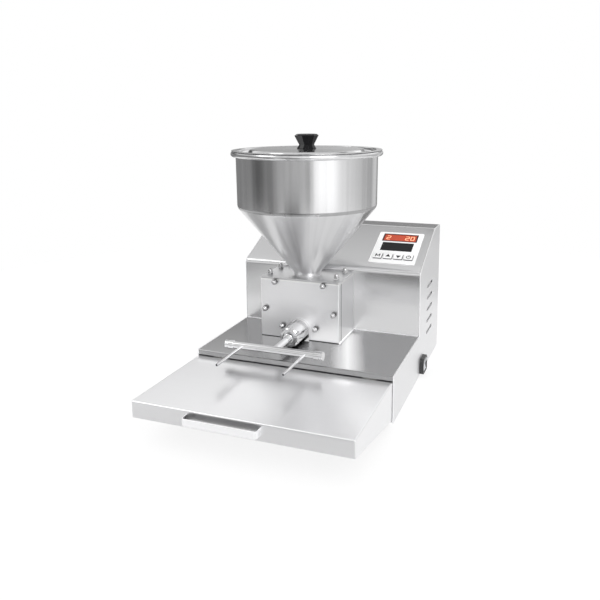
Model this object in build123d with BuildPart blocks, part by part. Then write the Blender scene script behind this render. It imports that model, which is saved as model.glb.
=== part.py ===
"""Counter-top pastry filling machine: a hopper feeds a gear pump, which fills pastries through two needles.

Frame: X across the machine (operator's right is +X), Y from the operator to the back, Z up.
The origin lies on the table, under the middle of the cabinet's footprint.
"""

import os
from math import acos, cos, pi, radians, sin, tan

from build123d import *

os.makedirs("parts", exist_ok=True)

# Driving dimensions, in millimetres and degrees

# Cabinet of folded stainless sheet
body_width = 380.0
body_depth = 418.0
side_sheet = 2.0
sheet = 1.5
seam = 0.1
ground_clearance = 4.0
deck_height = 90.0
lip_drop = 9.5
face_height = 130.0
slope_length = 161.0
slope_angle = 23.2
fold_radius = 2.5
soft_fold_radius = 13.0
flange_width = 14.0
edge_round = 0.6

# Ventilation slots in the cabinet
louvre_length = 62.0
louvre_width = 7.0
louvre_pitch = 24.7
louvre_count = 5
louvre_top = 173.0
louvre_inset = 102.0
louvre_tongue_reach = 5.0
rear_slot_length = 46.0
rear_slot_width = 4.0
rear_slot_pitch = 12.0
rear_slot_rows = 7
rear_slot_spacing = 130.0
rear_slot_height = 215.0

# Feet
foot_radius = 15.0
foot_taper = 2.0
foot_inset_x = 34.0
foot_inset_y = 36.0
foot_screw_radius = 2.5
foot_screw_bite = 4.0

# Pull-out tray
tray_reach = 216.0
tray_drop = 11.0
tray_front_height = 28.5
tray_clearance = 0.4
tray_tail = 60.0
tray_heel = 12.0
tray_tail_height = 27.0
tray_stop_height = 6.0
tray_travel = 196.0
rail_width = 14.0
rail_height = 1.5
guide_width = 24.0
guide_inset = 30.0
slide_gap = 0.3
handle_offset = -24.0
handle_length = 129.0
handle_standoff = 13.5
handle_height = 12.0
handle_strip = 2.0
handle_bend = 6.0
handle_drop = 8.0

# Gear pump
pump_offset = -28.5
pump_width = 164.0
pump_depth = 95.5
pump_body_height = 116.5
cover_thickness = 14.0
block_round = 2.0
gear_height = 57.3
gear_module = 3.75
gear_teeth = 12
gear_width = 52.0
gear_addendum = 0.9
gear_dedendum = 1.2
pressure_angle = 20.0
tooth_backlash = 0.16
chamber_clearance = 0.3
end_clearance = 0.2
shaft_radius = 7.0
running_clearance = 0.05
bush_radius = 10.0
bush_length = 11.0
inlet_radius = 24.0
outlet_bore = 8.0
seal_radius = 13.0
seal_length = 8.0
ring_seal_wall = 2.0
ring_seal_margin = 1.5
ring_seal_depth = 2.0

# Dome nuts on studs, used on the pump cover and on the hopper flange
stud_radius = 3.0
stud_hole_radius = 3.2
stud_bite = 16.0
nut_across_flats = 10.0
nut_height = 6.0
nut_dome_radius = 4.6
nut_total_height = 12.0
nut_bore_depth = 8.5
side_stud_wall = 22.7
top_stud_x = 50.3
top_stud_wall = 29.8
low_stud_x = 34.7
low_stud_wall = 6.0

# Outlet, union and needle bar
outlet_height = 20.0
outlet_plate_radius = 23.0
outlet_plate_thickness = 8.0
spigot_radius = 13.5
spigot_length = 32.0
union_radius = 19.0
union_length = 45.0
union_wall = 4.0
union_recess_radius = 13.4
union_recess_depth = 3.0
union_slots = 6
union_slot_radius = 3.6
union_slot_length = 12.0
union_clearance = 0.3
union_seal_thickness = 1.5
tube_radius = 6.5
tube_bore = 4.5
collar_radius = 13.2
hub_radius = 10.0
hub_length = 7.0
bar_forward = 3.5
bar_shift = -2.5
bar_length = 191.0
bar_cap_length = 17.0
bar_cap_radius = 8.2
bar_cap_overlap = 7.0
bar_cap_groove = 1.2
bar_cap_groove_inset = 2.7
bar_cap_groove_pitch = 3.0
bar_cap_grooves = 2
needle_spacing = 122.5
needle_length = 100.0
needle_radius = 2.5
needle_bore = 1.8
needle_tip_angle = 40.0

# Hopper and lid
hopper_wall = 1.5
hopper_flange_thickness = 4.0
hopper_gasket_thickness = 1.0
hopper_stud_x = 70.0
hopper_stud_y = 27.0
neck_radius = 27.0
neck_height = 6.0
barrel_radius = 136.8
barrel_height = 108.0
barrel_flare = 1.1
cone_height = 133.0
neck_blend = 8.0
shoulder_blend = 10.0
bead_radius = 5.2
lid_sheet = 1.0
lid_overlap = 3.0
lid_gap = 0.2
lid_plug_clearance = 1.5
lid_well_depth = 6.0
lid_well_width = 19.0
lid_step_run = 5.0
lid_crown_rise = 2.0
knob_sides = 12
knob_base_radius = 19.5
knob_waist_radius = 14.8
knob_top_radius = 23.7
knob_crown_radius = 19.5
knob_waist_height = 7.6
knob_flare_height = 25.0
knob_height = 28.0
knob_screw_radius = 2.5
knob_screw_length = 14.0

# Control panel on the slope
panel_side_gap = 18.0
panel_position = 78.0
panel_width = 95.0
panel_length = 112.0
panel_thickness = 1.6
panel_margin = 4.0
panel_corner = 3.0
window_gap = 0.05
upper_window_width = 71.0
upper_window_length = 25.0
upper_window_position = 114.0
lower_window_width = 63.0
lower_window_length = 27.0
lower_window_position = 80.5
module_height = 9.0
module_margin = 1.0
board_thickness = 1.6
board_depth = 10.0
standoff_radius = 2.5
standoff_inset = 3.5
key_count = 4
key_pitch = 21.3
key_size = 18.0
key_position = 44.5
key_clearance = 0.3
key_height = 2.0
key_stem = 4.0
key_flange = 1.2
key_flange_margin = 1.1
key_flange_drop = 0.3
key_corner = 1.5
key_travel = 0.8
key_switch_size = 12.0
key_switch_gap = 0.2

# Rocker switch in the right side panel
switch_setback = 28.0
switch_height = 22.5
switch_length = 38.0
switch_rise = 33.0
switch_proud = 8.0
switch_corner = 7.0
switch_body_margin = 2.0
switch_body_depth = 26.0
switch_wall = 3.5
rocker_gap = 0.4
rocker_half_height = 11.0
rocker_reach = 8.5
rocker_dip = 3.0
rocker_back = 4.0
rocker_tilt = 9.0
rocker_pin_radius = 1.5
rocker_pin_length = 1.2

# Drive behind the pump
backing_thickness = 4.0
backing_width = 150.0
mount_bolt_radius = 4.0
mount_bolt_x = 62.0
mount_bolt_low = 22.0
mount_bolt_rise = 78.0
mount_bolt_bite = 14.0
coupling_radius = 16.0
coupling_length = 34.0
coupling_setback = 12.0
gearbox_size = 84.0
gearbox_length = 44.0
gearbox_corner = 10.0
gearbox_pilot_radius = 19.5
bracket_thickness = 8.0
bracket_gap = 2.0
bracket_foot = 60.0
bracket_margin = 10.0
bracket_screw_radius = 3.0
bracket_screw_pitch = 64.0
motor_radius = 40.0
motor_length = 84.0
motor_cap_length = 8.0
motor_cap_radius = 34.0
supply_width = 110.0
supply_depth = 98.0
supply_height = 42.0
supply_side_gap = 30.0
supply_setback = 70.0
drive_rear_gap = 8.0

# Cable gland in the rear panel
gland_side_gap = 70.0
gland_height = 50.0
gland_bore = 4.0
gland_thread_radius = 8.0
gland_thread_length = 10.0
gland_across_flats = 22.0
gland_hex_length = 8.0
gland_dome_radius = 10.0
gland_mouth_radius = 7.0
gland_dome_length = 14.0
gland_nut_length = 5.0

# Rear panel screws
rear_screw_radius = 2.0
rear_screw_length = 8.0
rear_screw_head_radius = 4.0
rear_screw_head_height = 2.4
rear_screw_top_margin = 24.0
rear_screw_bottom_margin = 20.0

hole_clearance = 0.1
pan_round = 0.6
cap_head_share = 1.6
cap_socket_share = 0.8

# Places worked out from the driving dimensions

half_width = body_width / 2
inner_half = half_width - side_sheet - seam
y_lip = -body_depth / 2
y_back = body_depth / 2

# The housing is as deep as the drive inside it, and the deck takes the rest of the depth.
coupling_gap = coupling_setback - bracket_gap
drive_length = backing_thickness + coupling_gap + coupling_length + bracket_gap + bracket_thickness
drive_length += gearbox_length + motor_length + motor_cap_length
y_face = y_back - 2 * sheet - drive_rear_gap - drive_length
z_floor = ground_clearance
z_deck = deck_height
z_bend = z_deck + face_height
y_slope = y_face + slope_length * cos(radians(slope_angle))
z_roof = z_bend + slope_length * sin(radians(slope_angle))
z_plate = z_floor + side_sheet
z_plate_top = z_plate + sheet

y_pump_front = y_face - pump_depth
y_cover_back = y_pump_front + cover_thickness
z_pump_top = z_deck + pump_body_height
z_gear = z_deck + gear_height
pitch_radius = gear_module * gear_teeth / 2
tip_radius = pitch_radius + gear_addendum * gear_module
chamber_radius = tip_radius + chamber_clearance
chamber_depth = gear_width + 2 * end_clearance
x_drive = pump_offset - pitch_radius
x_driven = pump_offset + pitch_radius
y_chamber_back = y_cover_back + chamber_depth
y_gear_front = y_cover_back + end_clearance

y_axis = y_face - pump_depth / 2
z_flange = z_pump_top + hopper_gasket_thickness
z_neck = z_flange + hopper_flange_thickness
z_shoulder = z_neck + neck_height + cone_height
z_rim = z_shoulder + barrel_height
rim_wall_radius = barrel_radius + barrel_flare

z_outlet = z_deck + outlet_height
y_plate_front = y_pump_front - outlet_plate_thickness
y_union_back = y_plate_front - union_clearance
y_union_front = y_union_back - union_length
y_union_wall = y_union_front + union_recess_depth
y_spigot_end = y_plate_front - spigot_length
y_collar_back = y_spigot_end - union_seal_thickness
y_collar_front = y_union_wall + union_wall + union_clearance
x_bar = pump_offset + bar_shift
y_bar = y_lip - bar_forward

z_tray = z_deck - tray_drop
z_heel = z_plate_top + rail_height + slide_gap
y_tray_front = y_lip - tray_reach
y_tray_tail = y_lip + tray_tail
tray_half = half_width - side_sheet - tray_clearance

y_backing = y_face + sheet
y_backing_rear = y_backing + backing_thickness
y_shaft_end = y_backing_rear + coupling_setback + coupling_length / 2 - end_clearance
y_coupling = y_backing_rear + coupling_gap
y_bracket = y_coupling + coupling_length + bracket_gap
y_gearbox = y_bracket + bracket_thickness
y_motor = y_gearbox + gearbox_length

y_switch = y_face + switch_setback

panel_x = half_width - panel_side_gap - panel_width / 2
gland_x = half_width - gland_side_gap
supply_x = half_width - supply_side_gap - supply_width / 2

# Planes that the pieces are drawn on

slope_plane = Plane(
    origin=(0, y_face, z_bend),
    x_dir=(1, 0, 0),
    z_dir=(0, -sin(radians(slope_angle)), cos(radians(slope_angle))),
)
hopper_plane = Plane(origin=(pump_offset, y_axis, 0), x_dir=(1, 0, 0), z_dir=(0, -1, 0))


def facing_front(y):
    """Upright plane at depth y, seen from the operator: local x is X, local y is Z."""
    return Plane.XZ.offset(-y)


def facing_right(x):
    """Upright plane at x, seen from the right: local x is Y, local y is Z."""
    return Plane.YZ.offset(x)


# Places of the pump cover's studs and the hopper's studs

side_stud_x = pitch_radius + chamber_radius + side_stud_wall
cover_stud_places = [
    (pump_offset + side * x, z)
    for side in (-1, 1)
    for x, z in (
        (top_stud_x, z_gear + chamber_radius + top_stud_wall),
        (side_stud_x, z_gear),
        (low_stud_x, z_gear - chamber_radius - low_stud_wall),
    )
]
hopper_stud_places = [
    (pump_offset + side * hopper_stud_x, y_axis + way * hopper_stud_y) for side in (-1, 1) for way in (-1, 1)
]
mount_bolt_places = [
    (pump_offset + side * mount_bolt_x, z_deck + mount_bolt_low + rise)
    for side in (-1, 1)
    for rise in (0, mount_bolt_rise)
]
foot_places = [
    (side * (half_width - foot_inset_x), way * (body_depth / 2 - foot_inset_y))
    for side in (-1, 1)
    for way in (-1, 1)
]
rear_screw_rises = [
    z_floor + rear_screw_bottom_margin,
    (z_floor + rear_screw_bottom_margin + z_roof - rear_screw_top_margin) / 2,
    z_roof - rear_screw_top_margin,
]
rear_screw_places = [
    (side * (inner_half - flange_width / 2), z) for side in (-1, 1) for z in rear_screw_rises
]
bracket_screw_places = [
    (x_drive + side * (gearbox_size + bracket_margin) / 2, y_bracket + bracket_foot - setback)
    for side in (-1, 1)
    for setback in (bracket_margin, bracket_foot - bracket_thickness - bracket_margin)
]

# Cabinet: deck, cover, sides, back and bottom

with BuildPart() as base_deck:
    # The deck is one sheet from the front lip to the back, and carries the pump and the drive.
    with BuildSketch(Plane.YZ):
        with BuildLine():
            deck_line = FilletPolyline(
                (y_lip, z_deck - lip_drop),
                (y_lip, z_deck),
                (y_back - 2 * sheet - seam, z_deck),
                radius=fold_radius,
            )
            offset(deck_line, amount=sheet, side=Side.RIGHT)
        make_face()
    extrude(amount=inner_half, both=True)
    with BuildSketch(Plane.XY.offset(z_deck)):
        with Locations(*bracket_screw_places):
            Circle(bracket_screw_radius + hole_clearance)
    extrude(amount=-sheet, mode=Mode.SUBTRACT)

with BuildPart() as housing_cover:
    # Front face, slope and roof are one folded sheet with a foot flange and a rear flange.
    with BuildSketch(Plane.YZ):
        with BuildLine():
            cover_line = FilletPolyline(
                (y_face + flange_width, z_deck),
                (y_face, z_deck),
                (y_face, z_bend),
                (y_slope, z_roof),
                (y_back - sheet, z_roof),
                (y_back - sheet, z_roof - flange_width),
                radius=[fold_radius, soft_fold_radius, soft_fold_radius, fold_radius],
            )
            offset(cover_line, amount=sheet, side=Side.RIGHT)
        make_face()
    extrude(amount=inner_half, both=True)
    with BuildSketch(facing_front(y_face)):
        with Locations((x_drive, z_gear)):
            Circle(seal_radius + sheet)
        with Locations(*mount_bolt_places):
            Circle(mount_bolt_radius + hole_clearance)
    extrude(amount=-sheet, mode=Mode.SUBTRACT)
    with BuildSketch(slope_plane):
        with Locations((panel_x, panel_position)):
            Rectangle(panel_width - 2 * panel_margin, panel_length - 2 * panel_margin)
    extrude(amount=-2 * sheet, mode=Mode.SUBTRACT)


def side_panel(side, with_switch):
    """One side of the cabinet: a flat cheek with a foot flange, a rear flange and a row of lanced slots."""
    inner_x = side * (half_width - side_sheet)
    with BuildPart() as panel:
        with BuildSketch(facing_right(inner_x)) as cheek:
            with BuildLine():
                Polyline(
                    (y_lip, z_floor),
                    (y_lip, z_deck),
                    (y_face, z_deck),
                    (y_face, z_bend),
                    (y_slope, z_roof),
                    (y_back, z_roof),
                    (y_back, z_floor),
                    close=True,
                )
            make_face()
            upper_corners = cheek.vertices().filter_by(lambda v: v.Y > (z_deck + z_bend) / 2).sort_by(Axis.X)
            fillet(upper_corners[:2], radius=soft_fold_radius)
        extrude(amount=side * side_sheet)
        outer_face = panel.faces().filter_by(Axis.X).sort_by(Axis.X)[-1 if side > 0 else 0]
        fillet(outer_face.outer_wire().edges(), radius=edge_round)
        with BuildSketch(Plane.XY.offset(z_floor)):
            with Locations((inner_x - side * flange_width / 2, 0)):
                Rectangle(flange_width, body_depth - 2 * edge_round - 2 * sheet)
        extrude(amount=side_sheet)
        with BuildSketch(facing_front(y_back - sheet)):
            with Locations((inner_x - side * flange_width / 2, z_floor)):
                rear_flange_height = z_roof - flange_width - sheet - z_floor
                Rectangle(flange_width, rear_flange_height, align=(Align.CENTER, Align.MIN))
            with Locations(*[place for place in rear_screw_places if place[0] * side > 0]):
                Circle(rear_screw_radius + hole_clearance, mode=Mode.SUBTRACT)
        extrude(amount=sheet)
        with BuildSketch(facing_right(inner_x)):
            for slot in range(louvre_count):
                with Locations((y_back - louvre_inset, louvre_top - slot * louvre_pitch)):
                    SlotOverall(louvre_length, louvre_width)
            if with_switch:
                with Locations((y_switch, switch_height)):
                    Rectangle(
                        switch_length - 2 * switch_body_margin + 2 * hole_clearance,
                        switch_rise - 2 * switch_body_margin + 2 * hole_clearance,
                    )
        extrude(amount=side * side_sheet, mode=Mode.SUBTRACT)
        # The metal of each slot stays on its lower edge as a tongue that leans into the cabinet
        tongue_length = louvre_length - louvre_width
        for slot in range(louvre_count):
            z_root = louvre_top - slot * louvre_pitch - louvre_width / 2
            with BuildSketch(facing_front(y_back - louvre_inset + tongue_length / 2)):
                with BuildLine():
                    Polyline(
                        (inner_x, z_root - sheet),
                        (inner_x, z_root),
                        (inner_x - side * louvre_tongue_reach, z_root + louvre_tongue_reach),
                        (inner_x - side * louvre_tongue_reach, z_root + louvre_tongue_reach - sheet),
                        close=True,
                    )
                make_face()
            extrude(amount=tongue_length)
    return panel


side_panel_left = side_panel(-1, with_switch=False)
side_panel_right = side_panel(1, with_switch=True)

with BuildPart() as rear_panel:
    # Flat screwed-on back with two columns of ventilation slots and the hole for the cable gland.
    with BuildSketch(facing_front(y_back)):
        with Locations((0, z_floor)):
            Rectangle(2 * inner_half, z_roof - sheet - z_floor, align=(Align.CENTER, Align.MIN))
        with Locations((0, rear_slot_height)):
            with GridLocations(rear_slot_spacing, rear_slot_pitch, 2, rear_slot_rows):
                SlotOverall(rear_slot_length, rear_slot_width, mode=Mode.SUBTRACT)
        with Locations(*rear_screw_places):
            Circle(rear_screw_radius + hole_clearance, mode=Mode.SUBTRACT)
        with Locations((gland_x, gland_height)):
            Circle(gland_thread_radius + hole_clearance, mode=Mode.SUBTRACT)
    extrude(amount=sheet)

with BuildPart() as bottom_plate:
    with BuildSketch(Plane.XY.offset(z_plate)):
        Rectangle(2 * inner_half, body_depth - 4 * sheet - 2 * seam)
        with Locations(*foot_places):
            Circle(foot_screw_radius + hole_clearance, mode=Mode.SUBTRACT)
    extrude(amount=sheet)

with BuildPart() as rubber_feet:
    with Locations(*foot_places):
        Cone(foot_radius - foot_taper, foot_radius, z_plate, align=(Align.CENTER, Align.CENTER, Align.MIN))
    with BuildSketch(Plane.XY.offset(z_plate)):
        with Locations(*foot_places):
            Circle(foot_screw_radius)
    extrude(amount=-foot_screw_bite, mode=Mode.SUBTRACT)


def pan_screw(radius, length, head_radius, head_height):
    """Pan-head screw: the head stands on the local XY plane, the shank goes down from it."""
    with BuildPart() as screw:
        Cylinder(head_radius, head_height, align=(Align.CENTER, Align.CENTER, Align.MIN))
        fillet(screw.edges().sort_by(Axis.Z)[-1], radius=head_height * pan_round)
        Cylinder(radius, length, align=(Align.CENTER, Align.CENTER, Align.MAX))
    return screw.part


def cap_screw(radius, length):
    """Socket cap screw: the head stands on the local XY plane, the shank goes down from it."""
    with BuildPart() as screw:
        Cylinder(radius, length, align=(Align.CENTER, Align.CENTER, Align.MAX))
        Cylinder(cap_head_share * radius, 2 * radius, align=(Align.CENTER, Align.CENTER, Align.MIN))
        with BuildSketch(Plane.XY.offset(2 * radius)):
            RegularPolygon(cap_socket_share * radius, 6)
        extrude(amount=-radius, mode=Mode.SUBTRACT)
    return screw.part


def dome_nut():
    """Dome nut: it seats on the local XY plane and its closed dome points along +Z."""
    with BuildPart() as nut:
        with BuildSketch():
            RegularPolygon(nut_across_flats / 2, 6, major_radius=False)
        extrude(amount=nut_height)
        with Locations((0, 0, nut_height)):
            Cylinder(
                nut_dome_radius,
                nut_total_height - nut_height - nut_dome_radius,
                align=(Align.CENTER, Align.CENTER, Align.MIN),
            )
        with Locations((0, 0, nut_total_height - nut_dome_radius)):
            Sphere(nut_dome_radius)
        Cylinder(
            stud_radius,
            nut_bore_depth,
            align=(Align.CENTER, Align.CENTER, Align.MIN),
            mode=Mode.SUBTRACT,
        )
    return nut.part


def stud(below, above):
    """Plain stud from below to above the local XY plane."""
    with BuildPart() as rod:
        with Locations((0, 0, -below)):
            Cylinder(stud_radius, below + above, align=(Align.CENTER, Align.CENTER, Align.MIN))
    return rod.part


def on_front(places, y):
    """Locations at (x, z) places on an upright plane at depth y, pointing to the operator."""
    return [Plane(origin=(x, y, z), x_dir=(1, 0, 0), z_dir=(0, -1, 0)).location for x, z in places]


def on_back(places, y):
    """Locations at (x, z) places on an upright plane at depth y, pointing to the back."""
    return [Plane(origin=(x, y, z), x_dir=(-1, 0, 0), z_dir=(0, 1, 0)).location for x, z in places]


with BuildPart() as foot_screws:
    with Locations(*[(x, y, z_plate_top) for x, y in foot_places]):
        add(pan_screw(foot_screw_radius, sheet + foot_screw_bite, 2 * foot_screw_radius, foot_screw_radius))

with BuildPart() as rear_screws:
    with Locations(*on_back(rear_screw_places, y_back)):
        add(pan_screw(rear_screw_radius, rear_screw_length, rear_screw_head_radius, rear_screw_head_height))

# Tray with its handle, bottom rails and top guides

with BuildPart() as tray:
    # Folded tray, open below: it tapers from a tall heel at the cabinet to a low front.
    with BuildSketch(facing_right(-tray_half)):
        with BuildLine():
            Polyline(
                (y_tray_front, z_tray),
                (y_tray_front, z_tray - tray_front_height),
                (y_lip, z_heel),
                (y_lip + tray_heel, z_heel),
                (y_lip + tray_heel, z_tray - tray_tail_height),
                (y_tray_tail, z_tray - tray_tail_height),
                (y_tray_tail, z_tray),
                close=True,
            )
        make_face()
    extrude(amount=2 * tray_half)
    front_edges = tray.edges().filter_by(Axis.X).group_by(Axis.Y)[0].sort_by(Axis.Z)[-1:]
    top_sides = tray.edges().filter_by(Axis.Y).group_by(Axis.Z)[-1]
    front_corners = tray.edges().filter_by(Axis.Z).group_by(Axis.Y)[0]
    fillet(front_edges + top_sides + front_corners, radius=fold_radius)
    with BuildSketch(Plane.XY.offset(z_tray - sheet)):
        with Locations((0, y_tray_front + sheet)):
            Rectangle(2 * (tray_half - sheet), tray_reach + 2 * tray_tail, align=(Align.CENTER, Align.MIN))
    extrude(amount=-z_tray, mode=Mode.SUBTRACT)
    with BuildSketch(Plane.XY.offset(z_tray - tray_front_height)):
        with Locations((0, y_tray_front + sheet)):
            Rectangle(2 * (tray_half - sheet), flange_width, align=(Align.CENTER, Align.MIN))
    extrude(amount=sheet)
    with BuildSketch(Plane.XY.offset(z_tray - sheet)):
        with Locations((0, y_tray_tail)):
            Rectangle(2 * (tray_half - guide_inset / 2), sheet, align=(Align.CENTER, Align.MAX))
    extrude(amount=sheet + tray_stop_height)

with BuildPart() as tray_handle:
    # A flat strip bent into a U, welded by its ends to the tray's front.
    with BuildSketch(Plane.XY.offset(z_tray - handle_drop - handle_height)):
        with BuildLine():
            handle_line = FilletPolyline(
                (handle_offset - handle_length / 2, y_tray_front),
                (handle_offset - handle_length / 2, y_tray_front - handle_standoff),
                (handle_offset + handle_length / 2, y_tray_front - handle_standoff),
                (handle_offset + handle_length / 2, y_tray_front),
                radius=handle_bend,
            )
            offset(handle_line, amount=handle_strip, side=Side.LEFT)
        make_face()
    extrude(amount=handle_height)

with BuildPart() as tray_rails:
    with BuildSketch(Plane.XY.offset(z_plate_top)):
        for side in (-1, 1):
            with Locations((side * (tray_half - rail_width / 2), y_lip + 2 * sheet + seam)):
                Rectangle(rail_width, tray_travel + tray_heel - 2 * sheet, align=(Align.CENTER, Align.MIN))
    extrude(amount=rail_height)

with BuildPart() as tray_guides:
    # Two blocks under the deck hold the tray's tail down and stop its rear lip.
    guide_front = y_lip + sheet + fold_radius
    guide_length = y_tray_tail - sheet - slide_gap - guide_front
    with BuildSketch(Plane.XY.offset(z_tray + slide_gap)):
        for side in (-1, 1):
            with Locations((side * (tray_half - guide_inset - guide_width / 2), guide_front)):
                Rectangle(guide_width, guide_length, align=(Align.CENTER, Align.MIN))
    extrude(amount=tray_drop - sheet - slide_gap)

# Gear pump

with BuildPart() as pump_body:
    with BuildSketch(facing_front(y_face)):
        with Locations((pump_offset, z_deck)):
            Rectangle(pump_width, pump_body_height, align=(Align.CENTER, Align.MIN))
    extrude(amount=y_face - y_cover_back)
    fillet(pump_body.edges().filter_by(Axis.Z), radius=block_round)
    # Gear chamber, open to the cover
    with BuildSketch(facing_front(y_cover_back)):
        with Locations((x_drive, z_gear), (x_driven, z_gear)):
            Circle(chamber_radius)
    extrude(amount=-chamber_depth, mode=Mode.SUBTRACT)
    # Inlet from the hopper and outlet towards the cover
    with BuildSketch(Plane.XY.offset(z_pump_top)):
        with Locations((pump_offset, y_axis)):
            Circle(inlet_radius)
    extrude(amount=z_gear + pitch_radius / 2 - z_pump_top, mode=Mode.SUBTRACT)
    with BuildSketch(facing_front(y_cover_back)):
        with Locations((pump_offset, z_outlet)):
            Circle(outlet_bore)
    extrude(amount=-gear_width / 2, mode=Mode.SUBTRACT)
    with BuildSketch(Plane.XY.offset(z_outlet)):
        with Locations((pump_offset, y_cover_back + gear_width / 2 - outlet_bore)):
            Circle(outlet_bore)
    extrude(amount=z_gear - z_outlet - pitch_radius / 2, mode=Mode.SUBTRACT)
    # Bushes, shaft and seal in the rear wall
    with BuildSketch(facing_front(y_chamber_back)):
        with Locations((x_drive, z_gear), (x_driven, z_gear)):
            Circle(bush_radius)
    extrude(amount=-bush_length, mode=Mode.SUBTRACT)
    with BuildSketch(facing_front(y_face)):
        with Locations((x_drive, z_gear)):
            Circle(shaft_radius + chamber_clearance)
    extrude(amount=y_face - y_chamber_back, mode=Mode.SUBTRACT)
    with BuildSketch(facing_front(y_face)):
        with Locations((x_drive, z_gear)):
            Circle(seal_radius)
    extrude(amount=seal_length, mode=Mode.SUBTRACT)
    # Holes for studs and bolts
    with BuildSketch(facing_front(y_cover_back)):
        with Locations(*cover_stud_places):
            Circle(stud_radius)
    extrude(amount=-stud_bite, mode=Mode.SUBTRACT)
    with BuildSketch(Plane.XY.offset(z_pump_top)):
        with Locations(*hopper_stud_places):
            Circle(stud_radius)
    extrude(amount=-stud_bite, mode=Mode.SUBTRACT)
    with BuildSketch(facing_front(y_face)):
        with Locations(*mount_bolt_places):
            Circle(mount_bolt_radius)
    extrude(amount=mount_bolt_bite, mode=Mode.SUBTRACT)

with BuildPart() as pump_cover:
    with BuildSketch(facing_front(y_cover_back)):
        with Locations((pump_offset, z_deck)):
            Rectangle(pump_width, pump_body_height, align=(Align.CENTER, Align.MIN))
    extrude(amount=cover_thickness)
    fillet(pump_cover.edges().filter_by(Axis.Z), radius=block_round)
    fillet(pump_cover.faces().sort_by(Axis.Y)[0].edges().sort_by(Axis.Z)[1:], radius=block_round / 2)
    with BuildSketch(facing_front(y_cover_back)):
        with Locations((x_drive, z_gear), (x_driven, z_gear)):
            Circle(bush_radius)
    extrude(amount=bush_length, mode=Mode.SUBTRACT)
    with BuildSketch(facing_front(y_cover_back)):
        with Locations((pump_offset, z_outlet)):
            Circle(outlet_bore)
        with Locations(*cover_stud_places):
            Circle(stud_hole_radius)
    extrude(amount=cover_thickness, mode=Mode.SUBTRACT)
    with BuildSketch(facing_front(y_cover_back)):
        with Locations((pump_offset, z_gear)):
            SlotCenterToCenter(2 * pitch_radius, 2 * (chamber_radius + ring_seal_margin + ring_seal_wall))
            SlotCenterToCenter(2 * pitch_radius, 2 * (chamber_radius + ring_seal_margin), mode=Mode.SUBTRACT)
    extrude(amount=ring_seal_depth, mode=Mode.SUBTRACT)

with BuildPart() as cover_seal:
    with BuildSketch(facing_front(y_cover_back)):
        with Locations((pump_offset, z_gear)):
            SlotCenterToCenter(2 * pitch_radius, 2 * (chamber_radius + ring_seal_margin + ring_seal_wall))
            SlotCenterToCenter(2 * pitch_radius, 2 * (chamber_radius + ring_seal_margin), mode=Mode.SUBTRACT)
    extrude(amount=ring_seal_depth)

with BuildPart() as clamp_studs:
    # Six studs clamp the pump cover and four clamp the hopper's flange.
    with Locations(*on_front(cover_stud_places, y_pump_front)):
        add(stud(cover_thickness + stud_bite, nut_bore_depth))
    with Locations(*[(x, y, z_neck) for x, y in hopper_stud_places]):
        add(stud(hopper_flange_thickness + hopper_gasket_thickness + stud_bite, nut_bore_depth))

with BuildPart() as dome_nuts:
    with Locations(*on_front(cover_stud_places, y_pump_front)):
        add(dome_nut())
    with Locations(*[(x, y, z_neck) for x, y in hopper_stud_places]):
        add(dome_nut())

with BuildPart() as shaft_bushes:
    with BuildSketch(facing_front(y_chamber_back)):
        with Locations((x_drive, z_gear), (x_driven, z_gear)):
            Circle(bush_radius)
            Circle(shaft_radius + running_clearance, mode=Mode.SUBTRACT)
    extrude(amount=-bush_length)
    with BuildSketch(facing_front(y_cover_back)):
        with Locations((x_drive, z_gear), (x_driven, z_gear)):
            Circle(bush_radius)
            Circle(shaft_radius + running_clearance, mode=Mode.SUBTRACT)
    extrude(amount=bush_length)

with BuildPart() as shaft_seal:
    with BuildSketch(facing_front(y_face)):
        with Locations((x_drive, z_gear)):
            Circle(seal_radius)
            Circle(shaft_radius + running_clearance, mode=Mode.SUBTRACT)
    extrude(amount=seal_length)


def gear_outline(x, first_angle):
    """Involute gear outline about (x, z_gear), with one tooth centred on first_angle."""
    base_radius = pitch_radius * cos(radians(pressure_angle))
    root_radius = pitch_radius - gear_dedendum * gear_module
    pitch_half_angle = pi / (2 * gear_teeth) - tooth_backlash / (2 * pitch_radius)
    pitch_involute = tan(radians(pressure_angle)) - radians(pressure_angle)

    def flank(radius, side):
        roll = acos(min(1.0, base_radius / radius))
        angle = side * (pitch_half_angle + pitch_involute - (tan(roll) - roll))
        return (radius * cos(angle), radius * sin(angle))

    middle = (base_radius + tip_radius) / 2
    root_point = [flank(base_radius, side) for side in (-1, 1)]
    foot_ratio = (root_radius - gear_module / 4) / base_radius
    foot_point = [(px * foot_ratio, py * foot_ratio) for px, py in root_point]
    with BuildSketch(mode=Mode.PRIVATE) as tooth:
        with BuildLine():
            Polyline(root_point[1], foot_point[1], foot_point[0], root_point[0])
            ThreePointArc(root_point[0], flank(middle, -1), flank(tip_radius, -1))
            ThreePointArc(flank(tip_radius, -1), (tip_radius, 0), flank(tip_radius, 1))
            ThreePointArc(flank(tip_radius, 1), flank(middle, 1), root_point[1])
        make_face()
    with Locations((x, z_gear)):
        Circle(root_radius)
        with PolarLocations(0, gear_teeth, start_angle=first_angle):
            add(tooth.sketch)


with BuildPart() as drive_gear:
    with BuildSketch(facing_front(y_gear_front)):
        gear_outline(x_drive, 0)
        with Locations((x_drive, z_gear)):
            Circle(shaft_radius, mode=Mode.SUBTRACT)
    extrude(amount=-gear_width)

with BuildPart() as driven_gear:
    # The driven gear is cut in one piece with its short shaft.
    with BuildSketch(facing_front(y_gear_front)):
        gear_outline(x_driven, 180 / gear_teeth)
    extrude(amount=-gear_width)
    with BuildSketch(facing_front(y_cover_back - bush_length + end_clearance)):
        with Locations((x_driven, z_gear)):
            Circle(shaft_radius)
    extrude(amount=-(chamber_depth + 2 * (bush_length - end_clearance)))

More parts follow.
